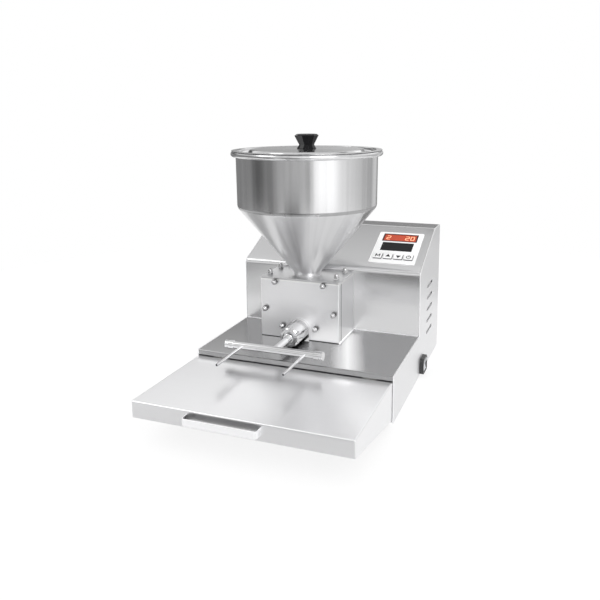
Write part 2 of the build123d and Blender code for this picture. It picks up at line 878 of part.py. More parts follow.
with BuildPart() as drive_shaft:
    with BuildSketch(facing_front(y_cover_back - bush_length + end_clearance)):
        with Locations((x_drive, z_gear)):
            Circle(shaft_radius)
    extrude(amount=-(y_shaft_end - y_cover_back + bush_length - end_clearance))
    chamfer(drive_shaft.edges().filter_by(GeomType.CIRCLE), length=edge_round)

# Outlet: plate with spigot, union, feed tube and needle bar

with BuildPart() as outlet_spigot:
    with BuildSketch(facing_front(y_pump_front)):
        with Locations((pump_offset, z_outlet)):
            Circle(outlet_plate_radius)
        with Locations((pump_offset, z_deck + slide_gap)):
            Rectangle(2 * outlet_plate_radius, outlet_height - slide_gap, align=(Align.CENTER, Align.MIN))
        with Locations((pump_offset, z_deck + slide_gap)):
            Rectangle(
                4 * outlet_plate_radius,
                2 * outlet_plate_radius,
                align=(Align.CENTER, Align.MAX),
                mode=Mode.SUBTRACT,
            )
    extrude(amount=outlet_plate_thickness)
    with BuildSketch(facing_front(y_plate_front)):
        with Locations((pump_offset, z_outlet)):
            Circle(spigot_radius)
    extrude(amount=spigot_length)
    with BuildSketch(facing_front(y_pump_front)):
        with Locations((pump_offset, z_outlet)):
            Circle(outlet_bore)
    extrude(amount=outlet_plate_thickness + spigot_length, mode=Mode.SUBTRACT)

with BuildPart() as union_seal:
    with BuildSketch(facing_front(y_spigot_end)):
        with Locations((pump_offset, z_outlet)):
            Circle(hub_radius + union_seal_thickness)
            Circle(outlet_bore, mode=Mode.SUBTRACT)
    extrude(amount=union_seal_thickness)

with BuildPart() as union_nut:
    # Round slotted nut, turned with a hook spanner
    with BuildSketch(facing_front(y_union_back)):
        with Locations((pump_offset, z_outlet)):
            Circle(union_radius)
    extrude(amount=union_length)
    chamfer(union_nut.faces().sort_by(Axis.Y)[0].edges(), length=union_wall / 2)
    with BuildSketch(facing_front(y_union_front)):
        with Locations((pump_offset, z_outlet)):
            with PolarLocations(union_radius, union_slots, start_angle=90):
                Circle(union_slot_radius)
    extrude(amount=-union_slot_length, mode=Mode.SUBTRACT)
    with BuildSketch(facing_front(y_union_back)):
        with Locations((pump_offset, z_outlet)):
            Circle(spigot_radius + union_clearance)
    extrude(amount=y_union_back - y_union_wall - union_wall, mode=Mode.SUBTRACT)
    with BuildSketch(facing_front(y_union_front)):
        with Locations((pump_offset, z_outlet)):
            Circle(union_recess_radius)
    extrude(amount=-union_recess_depth, mode=Mode.SUBTRACT)
    with BuildSketch(facing_front(y_union_wall)):
        with Locations((pump_offset, z_outlet)):
            Circle(hub_radius + union_clearance)
    extrude(amount=-union_wall, mode=Mode.SUBTRACT)

with BuildPart() as feed_tube:
    with BuildSketch(facing_front(y_collar_back)):
        with Locations((pump_offset, z_outlet)):
            Circle(collar_radius)
    extrude(amount=y_collar_back - y_collar_front)
    with BuildSketch(facing_front(y_collar_front)):
        with Locations((pump_offset, z_outlet)):
            Circle(hub_radius)
    extrude(amount=y_collar_front - y_union_front + hub_length)
    chamfer(feed_tube.faces().sort_by(Axis.Y)[0].edges(), length=edge_round)
    with BuildSketch(facing_front(y_collar_front)):
        with Locations((pump_offset, z_outlet)):
            Circle(tube_radius)
    extrude(amount=y_collar_front - y_bar)
    with BuildSketch(facing_front(y_collar_back)):
        with Locations((pump_offset, z_outlet)):
            Circle(tube_bore)
    extrude(amount=y_collar_back - y_bar, mode=Mode.SUBTRACT)
    with BuildSketch(facing_right(pump_offset)):
        with Locations((y_bar, z_outlet)):
            Circle(tube_radius)
    extrude(amount=2 * tube_radius, both=True, mode=Mode.SUBTRACT)

bar_tube_half = bar_length / 2 - bar_cap_length + bar_cap_overlap
needle_places = [x_bar + side * needle_spacing / 2 for side in (-1, 1)]

with BuildPart() as needle_bar:
    # Cross tube that shares the filling between the needles
    with BuildSketch(facing_right(x_bar)):
        with Locations((y_bar, z_outlet)):
            Circle(tube_radius)
            Circle(tube_bore, mode=Mode.SUBTRACT)
    extrude(amount=bar_tube_half, both=True)
    with BuildSketch(facing_front(y_bar)):
        with Locations(*[(x, z_outlet) for x in needle_places]):
            Circle(needle_radius)
    extrude(amount=tube_radius, mode=Mode.SUBTRACT)
    with BuildSketch(facing_front(y_bar)):
        with Locations((pump_offset, z_outlet)):
            Circle(tube_bore - sheet / 2)
    extrude(amount=-tube_radius, mode=Mode.SUBTRACT)

with BuildPart() as bar_caps:
    # Grooved screw caps that close the cross tube and come off for cleaning
    for side in (-1, 1):
        with BuildSketch(facing_right(x_bar + side * (bar_length / 2 - bar_cap_length))):
            with Locations((y_bar, z_outlet)):
                Circle(bar_cap_radius)
        extrude(amount=side * bar_cap_length)
    chamfer(bar_caps.edges().filter_by(GeomType.CIRCLE), length=edge_round)
    for side in (-1, 1):
        with BuildSketch(facing_right(x_bar + side * (bar_length / 2 - bar_cap_length))):
            with Locations((y_bar, z_outlet)):
                Circle(tube_radius)
        extrude(amount=side * bar_cap_overlap, mode=Mode.SUBTRACT)
        for groove in range(bar_cap_grooves):
            groove_inset = bar_cap_groove_inset + groove * bar_cap_groove_pitch
            with BuildSketch(facing_right(x_bar + side * (bar_length / 2 - groove_inset))):
                with Locations((y_bar, z_outlet)):
                    Circle(bar_cap_radius + edge_round)
                    Circle(bar_cap_radius - bar_cap_groove, mode=Mode.SUBTRACT)
            extrude(amount=-side * bar_cap_groove, mode=Mode.SUBTRACT)

with BuildPart() as filling_needles:
    with BuildSketch(facing_front(y_bar - tube_bore)):
        with Locations(*[(x, z_outlet) for x in needle_places]):
            Circle(needle_radius)
            Circle(needle_bore, mode=Mode.SUBTRACT)
    extrude(amount=needle_length - tube_bore)
    tip_plane = Plane(
        origin=(0, y_bar - needle_length, z_outlet + needle_radius),
        x_dir=(1, 0, 0),
        z_dir=(0, -sin(radians(needle_tip_angle)), cos(radians(needle_tip_angle))),
    )
    split(bisect_by=tip_plane.rotated((180, 0, 0)), keep=Keep.TOP)

# Hopper, its flange and the lid

with BuildPart() as hopper_gasket:
    with BuildSketch(Plane.XY.offset(z_pump_top)):
        with Locations((pump_offset, y_axis)):
            RectangleRounded(pump_width, pump_depth, block_round)
            Circle(inlet_radius, mode=Mode.SUBTRACT)
        with Locations(*hopper_stud_places):
            Circle(stud_hole_radius, mode=Mode.SUBTRACT)
    extrude(amount=hopper_gasket_thickness)

with BuildPart() as hopper_flange:
    with BuildSketch(Plane.XY.offset(z_flange)):
        with Locations((pump_offset, y_axis)):
            RectangleRounded(pump_width, pump_depth, block_round)
            Circle(neck_radius - hopper_wall, mode=Mode.SUBTRACT)
        with Locations(*hopper_stud_places):
            Circle(stud_hole_radius, mode=Mode.SUBTRACT)
    extrude(amount=hopper_flange_thickness)
    fillet(hopper_flange.faces().sort_by(Axis.Z)[-1].outer_wire().edges(), radius=edge_round)

with BuildPart() as hopper_shell:
    # Spun cone and barrel with a rolled rim
    with BuildSketch(hopper_plane):
        with BuildLine():
            hopper_line = FilletPolyline(
                (neck_radius, z_neck),
                (neck_radius, z_neck + neck_height),
                (barrel_radius, z_shoulder),
                (rim_wall_radius, z_rim - bead_radius / 2),
                radius=[neck_blend, shoulder_blend],
            )
            offset(hopper_line, amount=hopper_wall, side=Side.LEFT)
        make_face()
        with Locations((rim_wall_radius + bead_radius - hopper_wall / 2, z_rim - bead_radius)):
            Circle(bead_radius)
    revolve(axis=Axis((pump_offset, y_axis, 0), (0, 0, 1)))

lid_outer = rim_wall_radius + bead_radius + lid_overlap
lid_plug = rim_wall_radius - hopper_wall - lid_plug_clearance
lid_seat = knob_base_radius + lid_sheet
z_lid = z_rim + lid_gap
z_lid_top = z_lid + lid_crown_rise + lid_sheet

with BuildPart() as lid:
    # Pressed lid: a rim that lies on the bead, a well that drops inside, and a raised crown
    with BuildSketch(hopper_plane):
        with BuildLine():
            Polyline(
                (0, z_lid + lid_crown_rise),
                (lid_seat, z_lid + lid_crown_rise),
                (lid_plug - lid_well_width - lid_step_run, z_lid + lid_crown_rise / 2),
                (lid_plug - lid_well_width, z_lid - lid_well_depth),
                (lid_plug - lid_sheet, z_lid - lid_well_depth),
                (lid_plug, z_lid),
                (lid_outer, z_lid),
                (lid_outer, z_lid + lid_sheet),
                (lid_plug - lid_sheet, z_lid + lid_sheet),
                (lid_plug - 2 * lid_sheet, z_lid - lid_well_depth + lid_sheet),
                (lid_plug - lid_well_width + lid_sheet / 2, z_lid - lid_well_depth + lid_sheet),
                (lid_plug - lid_well_width - lid_step_run, z_lid + lid_crown_rise / 2 + lid_sheet),
                (lid_seat, z_lid_top),
                (0, z_lid_top),
                close=True,
            )
        make_face()
    revolve(axis=Axis((pump_offset, y_axis, 0), (0, 0, 1)))
    with BuildSketch(Plane.XY.offset(z_lid)):
        with Locations((pump_offset, y_axis)):
            Circle(knob_screw_radius + hole_clearance)
    extrude(amount=z_lid_top - z_lid, mode=Mode.SUBTRACT)

with BuildPart() as lid_knob:
    # Faceted moulded knob with a waist
    for rise, radius in (
        (0, knob_base_radius),
        (knob_waist_height, knob_waist_radius),
        (knob_flare_height, knob_top_radius),
        (knob_height, knob_crown_radius),
    ):
        with BuildSketch(Plane.XY.offset(z_lid_top + rise)):
            with Locations((pump_offset, y_axis)):
                RegularPolygon(radius, knob_sides)
    loft(ruled=True)
    with BuildSketch(Plane.XY.offset(z_lid_top)):
        with Locations((pump_offset, y_axis)):
            Circle(knob_screw_radius)
    extrude(amount=knob_screw_length, mode=Mode.SUBTRACT)

with BuildPart() as knob_screw:
    with BuildSketch(Plane.XY.offset(z_lid + lid_crown_rise - knob_screw_radius)):
        with Locations((pump_offset, y_axis)):
            Circle(2 * knob_screw_radius)
    extrude(amount=knob_screw_radius)
    with BuildSketch(Plane.XY.offset(z_lid + lid_crown_rise)):
        with Locations((pump_offset, y_axis)):
            Circle(knob_screw_radius)
    extrude(amount=lid_sheet + knob_screw_length)

# Control panel on the slope

upper_window_place = (panel_x, upper_window_position)
lower_window_place = (panel_x, lower_window_position)
first_key = panel_x - (key_count - 1) * key_pitch / 2
key_places = [(first_key + index * key_pitch, key_position) for index in range(key_count)]
standoff_places = [
    (
        panel_x + side * (panel_width / 2 - panel_margin - standoff_inset),
        panel_position + way * (panel_length / 2 - panel_margin - standoff_inset),
    )
    for side in (-1, 1)
    for way in (-1, 1)
]

with BuildPart() as control_frame:
    with BuildSketch(slope_plane):
        with Locations((panel_x, panel_position)):
            RectangleRounded(panel_width, panel_length, panel_corner)
        with Locations(upper_window_place):
            Rectangle(upper_window_width, upper_window_length, mode=Mode.SUBTRACT)
        with Locations(lower_window_place):
            Rectangle(lower_window_width, lower_window_length, mode=Mode.SUBTRACT)
        with Locations(*key_places):
            RectangleRounded(
                key_size + 2 * key_clearance, key_size + 2 * key_clearance, key_corner, mode=Mode.SUBTRACT
            )
    extrude(amount=panel_thickness)

with BuildPart() as upper_window:
    with BuildSketch(slope_plane):
        with Locations(upper_window_place):
            Rectangle(upper_window_width - 2 * window_gap, upper_window_length - 2 * window_gap)
    extrude(amount=panel_thickness)

with BuildPart() as lower_window:
    with BuildSketch(slope_plane):
        with Locations(lower_window_place):
            Rectangle(lower_window_width - 2 * window_gap, lower_window_length - 2 * window_gap)
    extrude(amount=panel_thickness)

with BuildPart() as display_modules:
    with BuildSketch(slope_plane.offset(-board_depth)):
        with Locations(upper_window_place):
            Rectangle(upper_window_width + 2 * module_margin, upper_window_length + 2 * module_margin)
        with Locations(lower_window_place):
            Rectangle(lower_window_width + 2 * module_margin, lower_window_length + 2 * module_margin)
    extrude(amount=module_height)
    with BuildSketch(slope_plane.offset(module_height - board_depth)):
        with Locations(upper_window_place):
            Rectangle(upper_window_width, upper_window_length)
        with Locations(lower_window_place):
            Rectangle(lower_window_width, lower_window_length)
    extrude(amount=board_depth - module_height)

with BuildPart() as control_board:
    with BuildSketch(slope_plane.offset(-board_depth - board_thickness)):
        with Locations((panel_x, panel_position)):
            Rectangle(panel_width - 2 * panel_margin - sheet, panel_length - 2 * panel_margin - sheet)
    extrude(amount=board_thickness)
    # One push switch is soldered to the board under each key.
    with BuildSketch(slope_plane.offset(-board_depth)):
        with Locations(*key_places):
            Rectangle(key_switch_size, key_switch_size)
    extrude(amount=board_depth - key_stem - key_travel - key_switch_gap)

with BuildPart() as board_standoffs:
    with BuildSketch(slope_plane.offset(-board_depth)):
        with Locations(*standoff_places):
            Circle(standoff_radius)
    extrude(amount=board_depth)


def panel_key(place):
    """Square key cap with a flange that keeps it behind the frame."""
    with BuildPart() as key:
        with BuildSketch(slope_plane.offset(-key_stem)):
            with Locations(place):
                RectangleRounded(key_size, key_size, key_corner)
        extrude(amount=key_stem + panel_thickness + key_height)
        fillet(key.edges().group_by(Axis((0, 0, 0), slope_plane.z_dir))[-1], radius=edge_round)
        with BuildSketch(slope_plane.offset(-key_flange_drop - key_flange)):
            with Locations(place):
                Rectangle(key_size + 2 * key_flange_margin, key_size + 2 * key_flange_margin)
        extrude(amount=key_flange)
    return key


key_mode, key_up, key_down, key_start = [panel_key(place) for place in key_places]

# Rocker switch

rocker_opening = 2 * (rocker_half_height + 2 * rocker_gap + rocker_reach * sin(radians(rocker_tilt)))
rocker_width = switch_length - 2 * switch_wall - 2 * rocker_gap

with BuildPart() as switch_body:
    # Raised frame outside the panel and a box behind it
    with BuildSketch(facing_right(half_width)):
        with Locations((y_switch, switch_height)):
            RectangleRounded(switch_length, switch_rise, switch_corner)
    extrude(amount=switch_proud)
    fillet(switch_body.faces().sort_by(Axis.X)[-1].edges(), radius=2 * edge_round)
    with BuildSketch(facing_right(half_width)):
        with Locations((y_switch, switch_height)):
            Rectangle(switch_length - 2 * switch_body_margin, switch_rise - 2 * switch_body_margin)
    extrude(amount=-switch_body_depth)
    with BuildSketch(facing_right(half_width + switch_proud)):
        with Locations((y_switch, switch_height)):
            Rectangle(switch_length - 2 * switch_wall, rocker_opening)
    extrude(amount=-(switch_proud + rocker_half_height), mode=Mode.SUBTRACT)
    with BuildSketch(facing_front(y_switch + switch_length / 2 - switch_wall + rocker_pin_length)):
        with Locations((half_width, switch_height)):
            Circle(rocker_pin_radius + running_clearance)
    extrude(amount=switch_length - 2 * switch_wall + 2 * rocker_pin_length, mode=Mode.SUBTRACT)

with BuildPart() as rocker:
    # Tilting cap with a dished face, shown switched off
    pivot_plane = Plane(origin=(half_width, y_switch, switch_height), x_dir=(1, 0, 0), z_dir=(0, -1, 0))
    with BuildSketch(pivot_plane.rotated((0, rocker_tilt, 0))):
        with BuildLine():
            Line((-rocker_back, -rocker_half_height), (rocker_reach, -rocker_half_height))
            ThreePointArc(
                (rocker_reach, -rocker_half_height),
                (rocker_reach - rocker_dip, 0),
                (rocker_reach, rocker_half_height),
            )
            Line((rocker_reach, rocker_half_height), (-rocker_back, rocker_half_height))
            Line((-rocker_back, rocker_half_height), (-rocker_back, -rocker_half_height))
        make_face()
    extrude(amount=rocker_width / 2, both=True)
    with BuildSketch(pivot_plane):
        Circle(rocker_pin_radius)
    extrude(amount=rocker_width / 2 + rocker_pin_length, both=True)

# Drive inside the cabinet

with BuildPart() as backing_plate:
    # Stiffens the thin face where the pump is bolted on
    with BuildSketch(facing_front(y_backing_rear)):
        with Locations((pump_offset, z_deck + 2 * sheet)):
            Rectangle(backing_width, pump_body_height - 2 * sheet, align=(Align.CENTER, Align.MIN))
        with Locations((x_drive, z_gear)):
            Circle(seal_radius + sheet, mode=Mode.SUBTRACT)
        with Locations(*mount_bolt_places):
            Circle(mount_bolt_radius + hole_clearance, mode=Mode.SUBTRACT)
    extrude(amount=backing_thickness)

with BuildPart() as mount_bolts:
    with Locations(*on_back(mount_bolt_places, y_backing_rear)):
        add(cap_screw(mount_bolt_radius, backing_thickness + sheet + mount_bolt_bite))

with BuildPart() as shaft_coupling:
    with BuildSketch(facing_front(y_coupling)):
        with Locations((x_drive, z_gear)):
            Circle(coupling_radius)
            Circle(shaft_radius, mode=Mode.SUBTRACT)
    extrude(amount=-coupling_length)
    outer_edges = shaft_coupling.edges().filter_by(GeomType.CIRCLE).sort_by(SortBy.RADIUS)[-2:]
    chamfer(outer_edges, length=2 * edge_round)

with BuildPart() as output_shaft:
    with BuildSketch(facing_front(y_shaft_end + 2 * end_clearance)):
        with Locations((x_drive, z_gear)):
            Circle(shaft_radius)
    extrude(amount=-(y_gearbox + gearbox_length / 2 - y_shaft_end - 2 * end_clearance))

with BuildPart() as motor_bracket:
    # Angle bracket that holds the gearbox on the deck
    with BuildSketch(facing_front(y_gearbox)):
        with Locations((x_drive, z_deck)):
            Rectangle(
                gearbox_size + 2 * bracket_margin,
                gear_height + gearbox_size / 2 + bracket_margin,
                align=(Align.CENTER, Align.MIN),
            )
        with Locations((x_drive, z_gear)):
            Circle(gearbox_pilot_radius, mode=Mode.SUBTRACT)
            with GridLocations(bracket_screw_pitch, bracket_screw_pitch, 2, 2):
                Circle(bracket_screw_radius + hole_clearance, mode=Mode.SUBTRACT)
    extrude(amount=bracket_thickness)
    with BuildSketch(Plane.XY.offset(z_deck)):
        with Locations((x_drive, y_bracket)):
            Rectangle(gearbox_size + 2 * bracket_margin, bracket_foot, align=(Align.CENTER, Align.MIN))
        with Locations(*bracket_screw_places):
            Circle(bracket_screw_radius + hole_clearance, mode=Mode.SUBTRACT)
    extrude(amount=bracket_thickness)

with BuildPart() as gearbox:
    with BuildSketch(facing_front(y_gearbox)):
        with Locations((x_drive, z_gear)):
            RectangleRounded(gearbox_size, gearbox_size, gearbox_corner)
    extrude(amount=-gearbox_length)
    with BuildSketch(facing_front(y_gearbox)):
        with Locations((x_drive, z_gear)):
            Circle(gearbox_pilot_radius)
    extrude(amount=bracket_thickness)
    with BuildSketch(facing_front(y_bracket)):
        with Locations((x_drive, z_gear)):
            Circle(shaft_radius + running_clearance)
    extrude(amount=-(bracket_thickness + gearbox_length / 2 + end_clearance), mode=Mode.SUBTRACT)
    with BuildSketch(facing_front(y_gearbox)):
        with Locations((x_drive, z_gear)):
            with GridLocations(bracket_screw_pitch, bracket_screw_pitch, 2, 2):
                Circle(bracket_screw_radius)
    extrude(amount=-gearbox_length / 4, mode=Mode.SUBTRACT)

gearbox_screw_places = [
    (x_drive + side * bracket_screw_pitch / 2, z_gear + way * bracket_screw_pitch / 2)
    for side in (-1, 1)
    for way in (-1, 1)
]

with BuildPart() as drive_screws:
    # Four screws hold the bracket on the deck and four hold the gearbox on the bracket.
    with Locations(*[(x, y, z_deck + bracket_thickness) for x, y in bracket_screw_places]):
        add(cap_screw(bracket_screw_radius, bracket_thickness + sheet))
    with Locations(*on_front(gearbox_screw_places, y_bracket)):
        add(cap_screw(bracket_screw_radius, bracket_thickness + gearbox_length / 4))

with BuildPart() as motor:
    with BuildSketch(facing_front(y_motor)):
        with Locations((x_drive, z_gear)):
            Circle(motor_radius)
    extrude(amount=-motor_length)
    with BuildSketch(facing_front(y_motor + motor_length)):
        with Locations((x_drive, z_gear)):
            Circle(motor_cap_radius)
    extrude(amount=-motor_cap_length)

with BuildPart() as power_supply:
    with BuildSketch(Plane.XY.offset(z_deck)):
        with Locations((supply_x, y_face + supply_setback)):
            Rectangle(supply_width, supply_depth, align=(Align.CENTER, Align.MIN))
    extrude(amount=supply_height)
    fillet(power_supply.edges().filter_by(Axis.Z), radius=block_round)

# Cable gland

with BuildPart() as cable_gland:
    with BuildSketch(facing_front(y_back)):
        with Locations((gland_x, gland_height)):
            RegularPolygon(gland_across_flats / 2, 6, major_radius=False)
    extrude(amount=-gland_hex_length)
    with BuildSketch(facing_front(y_back + gland_hex_length)):
        with Locations((gland_x, gland_height)):
            Circle(gland_dome_radius)
    with BuildSketch(facing_front(y_back + gland_hex_length + gland_dome_length)):
        with Locations((gland_x, gland_height)):
            Circle(gland_mouth_radius)
    loft()
    with BuildSketch(facing_front(y_back)):
        with Locations((gland_x, gland_height)):
            Circle(gland_thread_radius)
    extrude(amount=gland_thread_length)
    with BuildSketch(facing_front(y_back + gland_hex_length + gland_dome_length)):
        with Locations((gland_x, gland_height)):
            Circle(gland_bore)
    extrude(amount=gland_thread_length + gland_hex_length + gland_dome_length, mode=Mode.SUBTRACT)

with BuildPart() as gland_locknut:
    with BuildSketch(facing_front(y_back - sheet)):
        with Locations((gland_x, gland_height)):
            RegularPolygon(gland_across_flats / 2, 6, major_radius=False)
            Circle(gland_thread_radius, mode=Mode.SUBTRACT)
    extrude(amount=gland_nut_length)

# Every piece is written to its own file

pieces = {
    "base_deck": base_deck,
    "housing_cover": housing_cover,
    "side_panel_left": side_panel_left,
    "side_panel_right": side_panel_right,
    "rear_panel": rear_panel,
    "bottom_plate": bottom_plate,
    "rubber_feet": rubber_feet,
    "foot_screws": foot_screws,
    "rear_screws": rear_screws,
    "tray": tray,
    "tray_handle": tray_handle,
    "tray_rails": tray_rails,
    "tray_guides": tray_guides,
    "pump_body": pump_body,
    "pump_cover": pump_cover,
    "cover_seal": cover_seal,
    "clamp_studs": clamp_studs,
    "dome_nuts": dome_nuts,
    "shaft_bushes": shaft_bushes,
    "shaft_seal": shaft_seal,
    "drive_gear": drive_gear,
    "driven_gear": driven_gear,
    "drive_shaft": drive_shaft,
    "outlet_spigot": outlet_spigot,
    "union_seal": union_seal,
    "union_nut": union_nut,
    "feed_tube": feed_tube,
    "needle_bar": needle_bar,
    "bar_caps": bar_caps,
    "filling_needles": filling_needles,
    "hopper_gasket": hopper_gasket,
    "hopper_flange": hopper_flange,
    "hopper_shell": hopper_shell,
    "lid": lid,
    "lid_knob": lid_knob,
    "knob_screw": knob_screw,
    "control_frame": control_frame,
    "upper_window": upper_window,
    "lower_window": lower_window,
    "display_modules": display_modules,
    "control_board": control_board,
    "board_standoffs": board_standoffs,
    "key_mode": key_mode,
    "key_up": key_up,
    "key_down": key_down,
    "key_start": key_start,
    "switch_body": switch_body,
    "rocker": rocker,
    "backing_plate": backing_plate,
    "mount_bolts": mount_bolts,
    "shaft_coupling": shaft_coupling,
    "output_shaft": output_shaft,
    "motor_bracket": motor_bracket,
    "gearbox": gearbox,
    "drive_screws": drive_screws,
    "motor": motor,
    "power_supply": power_supply,
    "cable_gland": cable_gland,
    "gland_locknut": gland_locknut,
}
for name, piece in pieces.items():
    piece.part.label = name
    export_step(piece.part, f"parts/{name}.step")
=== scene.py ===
"""Looks of a counter-top pastry filling machine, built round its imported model.

Meshes are drawn in millimetres and set to metres when a piece is finished.
"""

import math

import bmesh
import bpy
from mathutils import Matrix, Vector


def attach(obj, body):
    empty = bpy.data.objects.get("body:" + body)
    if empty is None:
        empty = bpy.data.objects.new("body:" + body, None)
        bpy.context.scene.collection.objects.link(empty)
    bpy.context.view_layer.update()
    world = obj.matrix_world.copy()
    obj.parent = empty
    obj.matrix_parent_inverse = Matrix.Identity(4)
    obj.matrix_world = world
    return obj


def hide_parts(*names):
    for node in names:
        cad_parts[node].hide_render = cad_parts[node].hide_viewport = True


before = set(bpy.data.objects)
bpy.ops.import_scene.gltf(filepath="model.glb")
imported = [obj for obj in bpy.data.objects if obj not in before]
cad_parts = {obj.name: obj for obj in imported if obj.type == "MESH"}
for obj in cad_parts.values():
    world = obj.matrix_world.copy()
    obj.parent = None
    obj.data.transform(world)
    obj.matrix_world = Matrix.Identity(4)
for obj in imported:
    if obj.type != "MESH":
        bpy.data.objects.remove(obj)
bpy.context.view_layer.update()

# Feet
# Four moulded rubber buttons under the bottom plate, each held by a screw from inside.
# The tread is rounded and the plate shuts the cabinet from below.


def add_node(tree, kind, inputs=None, **settings):
    """One shader node, with its inputs either linked or set."""
    node = tree.nodes.new("ShaderNode" + kind)
    for name, value in settings.items():
        setattr(node, name, value)
    for name, value in (inputs or {}).items():
        if isinstance(value, bpy.types.NodeSocket):
            tree.links.new(value, node.inputs[name])
        else:
            node.inputs[name].default_value = value
    return node


millimetre = 0.001
grain_low, grain_high = 0.3, 0.7


def ranged(tree, value, start, end, low=0.0, high=1.0, way="LINEAR"):
    """Lays a value between start and end out between two levels."""
    return add_node(
        tree,
        "MapRange",
        {"Value": value, "From Min": start, "From Max": end, "To Min": low, "To Max": high},
        interpolation_type=way,
    ).outputs["Result"]


def mix(tree, share, first, second, kind="FLOAT", way="MIX"):
    """Mixes two values or colours by the share of the second."""
    return add_node(
        tree, "Mix", {"Factor": share, "A": first, "B": second}, data_type=kind, blend_type=way
    ).outputs["Result"]


def worked(tree, first, operation, second):
    """Two values worked into one."""
    return add_node(tree, "Math", {0: first, 1: second}, operation=operation).outputs["Value"]


def noise(tree, place, scale, detail):
    """A random grain, most of it between grain_low and grain_high."""
    return add_node(tree, "TexNoise", {"Vector": place, "Scale": scale, "Detail": detail}).outputs["Fac"]


def two_tone(tree, grain, colour, low, high):
    """A colour that swings with a grain between two shares of itself."""
    tone = add_node(tree, "ValToRGB", {"Fac": grain})
    for stop, level, where in zip(tone.color_ramp.elements, (low, high), (grain_low, grain_high)):
        stop.position = where
        stop.color = (*[min(1.0, level * part) for part in colour], 1.0)
    return tone.outputs["Color"]


def new_finish(name, metal=0.0):
    """A new material: itself, its node tree, its shader and the place it is read at."""
    finish = bpy.data.materials.new(name)
    finish.use_nodes = True
    tree = finish.node_tree
    shader = tree.nodes["Principled BSDF"]
    shader.inputs["Metallic"].default_value = metal
    return finish, tree, shader, add_node(tree, "TexCoord").outputs["Object"]


def lay_on(tree, shader, colour, wear, rough, swing, grain, relief, depth):
    """Gives a shader its colour, a roughness that swings with the wear, and the relief of a grain."""
    worn = ranged(tree, wear, grain_low, grain_high, (1 - swing) * rough, (1 + swing) * rough)
    bump = add_node(tree, "Bump", {"Height": grain, "Strength": relief, "Distance": depth})
    tree.links.new(colour, shader.inputs["Base Color"])
    tree.links.new(worn, shader.inputs["Roughness"])
    tree.links.new(bump.outputs["Normal"], shader.inputs["Normal"])


def moulded(name, colour, rough, grain=700.0, relief=0.25, gloss=0.5):
    """Moulded plastic or rubber: one colour with faint flow marks and a fine spark-eroded grain."""
    flow_scale, darkest, lightest, swing, grain_depth = 28.0, 0.92, 1.06, 0.15, 0.0002
    finish, tree, shader, place = new_finish(name)
    fine = noise(tree, place, grain, 2.0)
    flow = noise(tree, place, flow_scale, 3.0)
    tone = two_tone(tree, flow, colour, darkest, lightest)
    wear = worked(tree, worked(tree, fine, "ADD", flow), "MULTIPLY", 0.5)
    lay_on(tree, shader, tone, wear, rough, swing, fine, relief, grain_depth)
    shader.inputs["Specular IOR Level"].default_value = gloss
    return finish


def brushed(
    name, shade, rough, grain, pitch=1.1, tint=(1.0, 1.0, 1.01), relief=0.02, pull=0.0, cloud=0.03,
    underside_shade=1.0, flank_shade=1.0, metal=1.0,
):
    """Metal ground along one axis: hair lines with the given pitch, and faint cloudy handling marks.

    Faces that look down, or to the left and right, can get painted shade that keeps only the given share of
    the colour.
    """
    mark_scale, mark_share, line_depth = 14.0, 0.4, 0.00008
    finish, tree, shader, place = new_finish(name, metal)
    across, along = 1.0 / (pitch * millimetre), 4.0
    scale = [along if axis == grain else across for axis in "XYZ"]
    drawn = add_node(tree, "Mapping", {"Vector": place, "Scale": scale}).outputs["Vector"]
    lines = noise(tree, drawn, 1.0, 3.0)
    mixed = mix(tree, mark_share, lines, noise(tree, place, mark_scale, 4.0))
    colour = two_tone(tree, mixed, [shade * part for part in tint], 1 - cloud, 1 + cloud)
    if underside_shade < 1.0 or flank_shade < 1.0:
        facing = add_node(tree, "SeparateXYZ", {"Vector": add_node(tree, "NewGeometry").outputs["Normal"]})
        aside = add_node(tree, "Math", {0: facing.outputs["X"]}, operation="ABSOLUTE").outputs["Value"]
        for turn, start, end, share in ((facing.outputs["Z"], -0.3, -0.8, underside_shade), (aside, 0.3, 0.8, flank_shade)):
            painted_shade = ranged(tree, turn, start, end, 1.0, share)
            shaded = add_node(tree, "VectorMath", {0: colour, "Scale": painted_shade}, operation="SCALE")
            colour = shaded.outputs["Vector"]
    lay_on(tree, shader, colour, mixed, rough, 3 * cloud, lines, relief, line_depth)
    if pull:
        shader.inputs["Anisotropic"].default_value = pull
        line_way = add_node(tree, "CombineXYZ", {axis: float(axis == grain) for axis in "XYZ"})
        tree.links.new(line_way.outputs["Vector"], shader.inputs["Tangent"])
    return finish


def dress(finish, *nodes):
    """Gives carried-over nodes their finish."""
    for node in nodes:
        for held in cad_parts[node].material_slots:
            held.material = finish


def add_piece(name, bm, finishes, body, nodes=(), sheet=0.0, edge=0.0, crease=32.0):
    """Makes a bmesh drawn in millimetres a piece: it rides on a body and stands for its nodes.

    A sheet gets its thickness behind its outer face, and an edge is broken to the given width.
    """
    bmesh.ops.scale(bm, vec=(millimetre, millimetre, millimetre), verts=bm.verts)
    mesh = bpy.data.meshes.new(name)
    bm.to_mesh(mesh)
    bm.free()
    mesh.shade_smooth()
    mesh.set_sharp_from_angle(angle=math.radians(crease))
    for finish in finishes:
        mesh.materials.append(finish)
    piece = bpy.data.objects.new(name, mesh)
    bpy.context.scene.collection.objects.link(piece)
    if sheet:
        wall = piece.modifiers.new("wall", "SOLIDIFY")
        wall.thickness = millimetre * sheet
        wall.offset = -1.0
        wall.use_even_offset = True
    if edge:
        broken = piece.modifiers.new("edge", "BEVEL")
        broken.width = millimetre * edge
        broken.segments = 3
        broken.limit_method = "ANGLE"
        broken.angle_limit = math.radians(crease)
        flat = piece.modifiers.new("flat", "WEIGHTED_NORMAL")
        flat.keep_sharp = True
    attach(piece, body)
    if nodes:
        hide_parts(*nodes)
    return piece


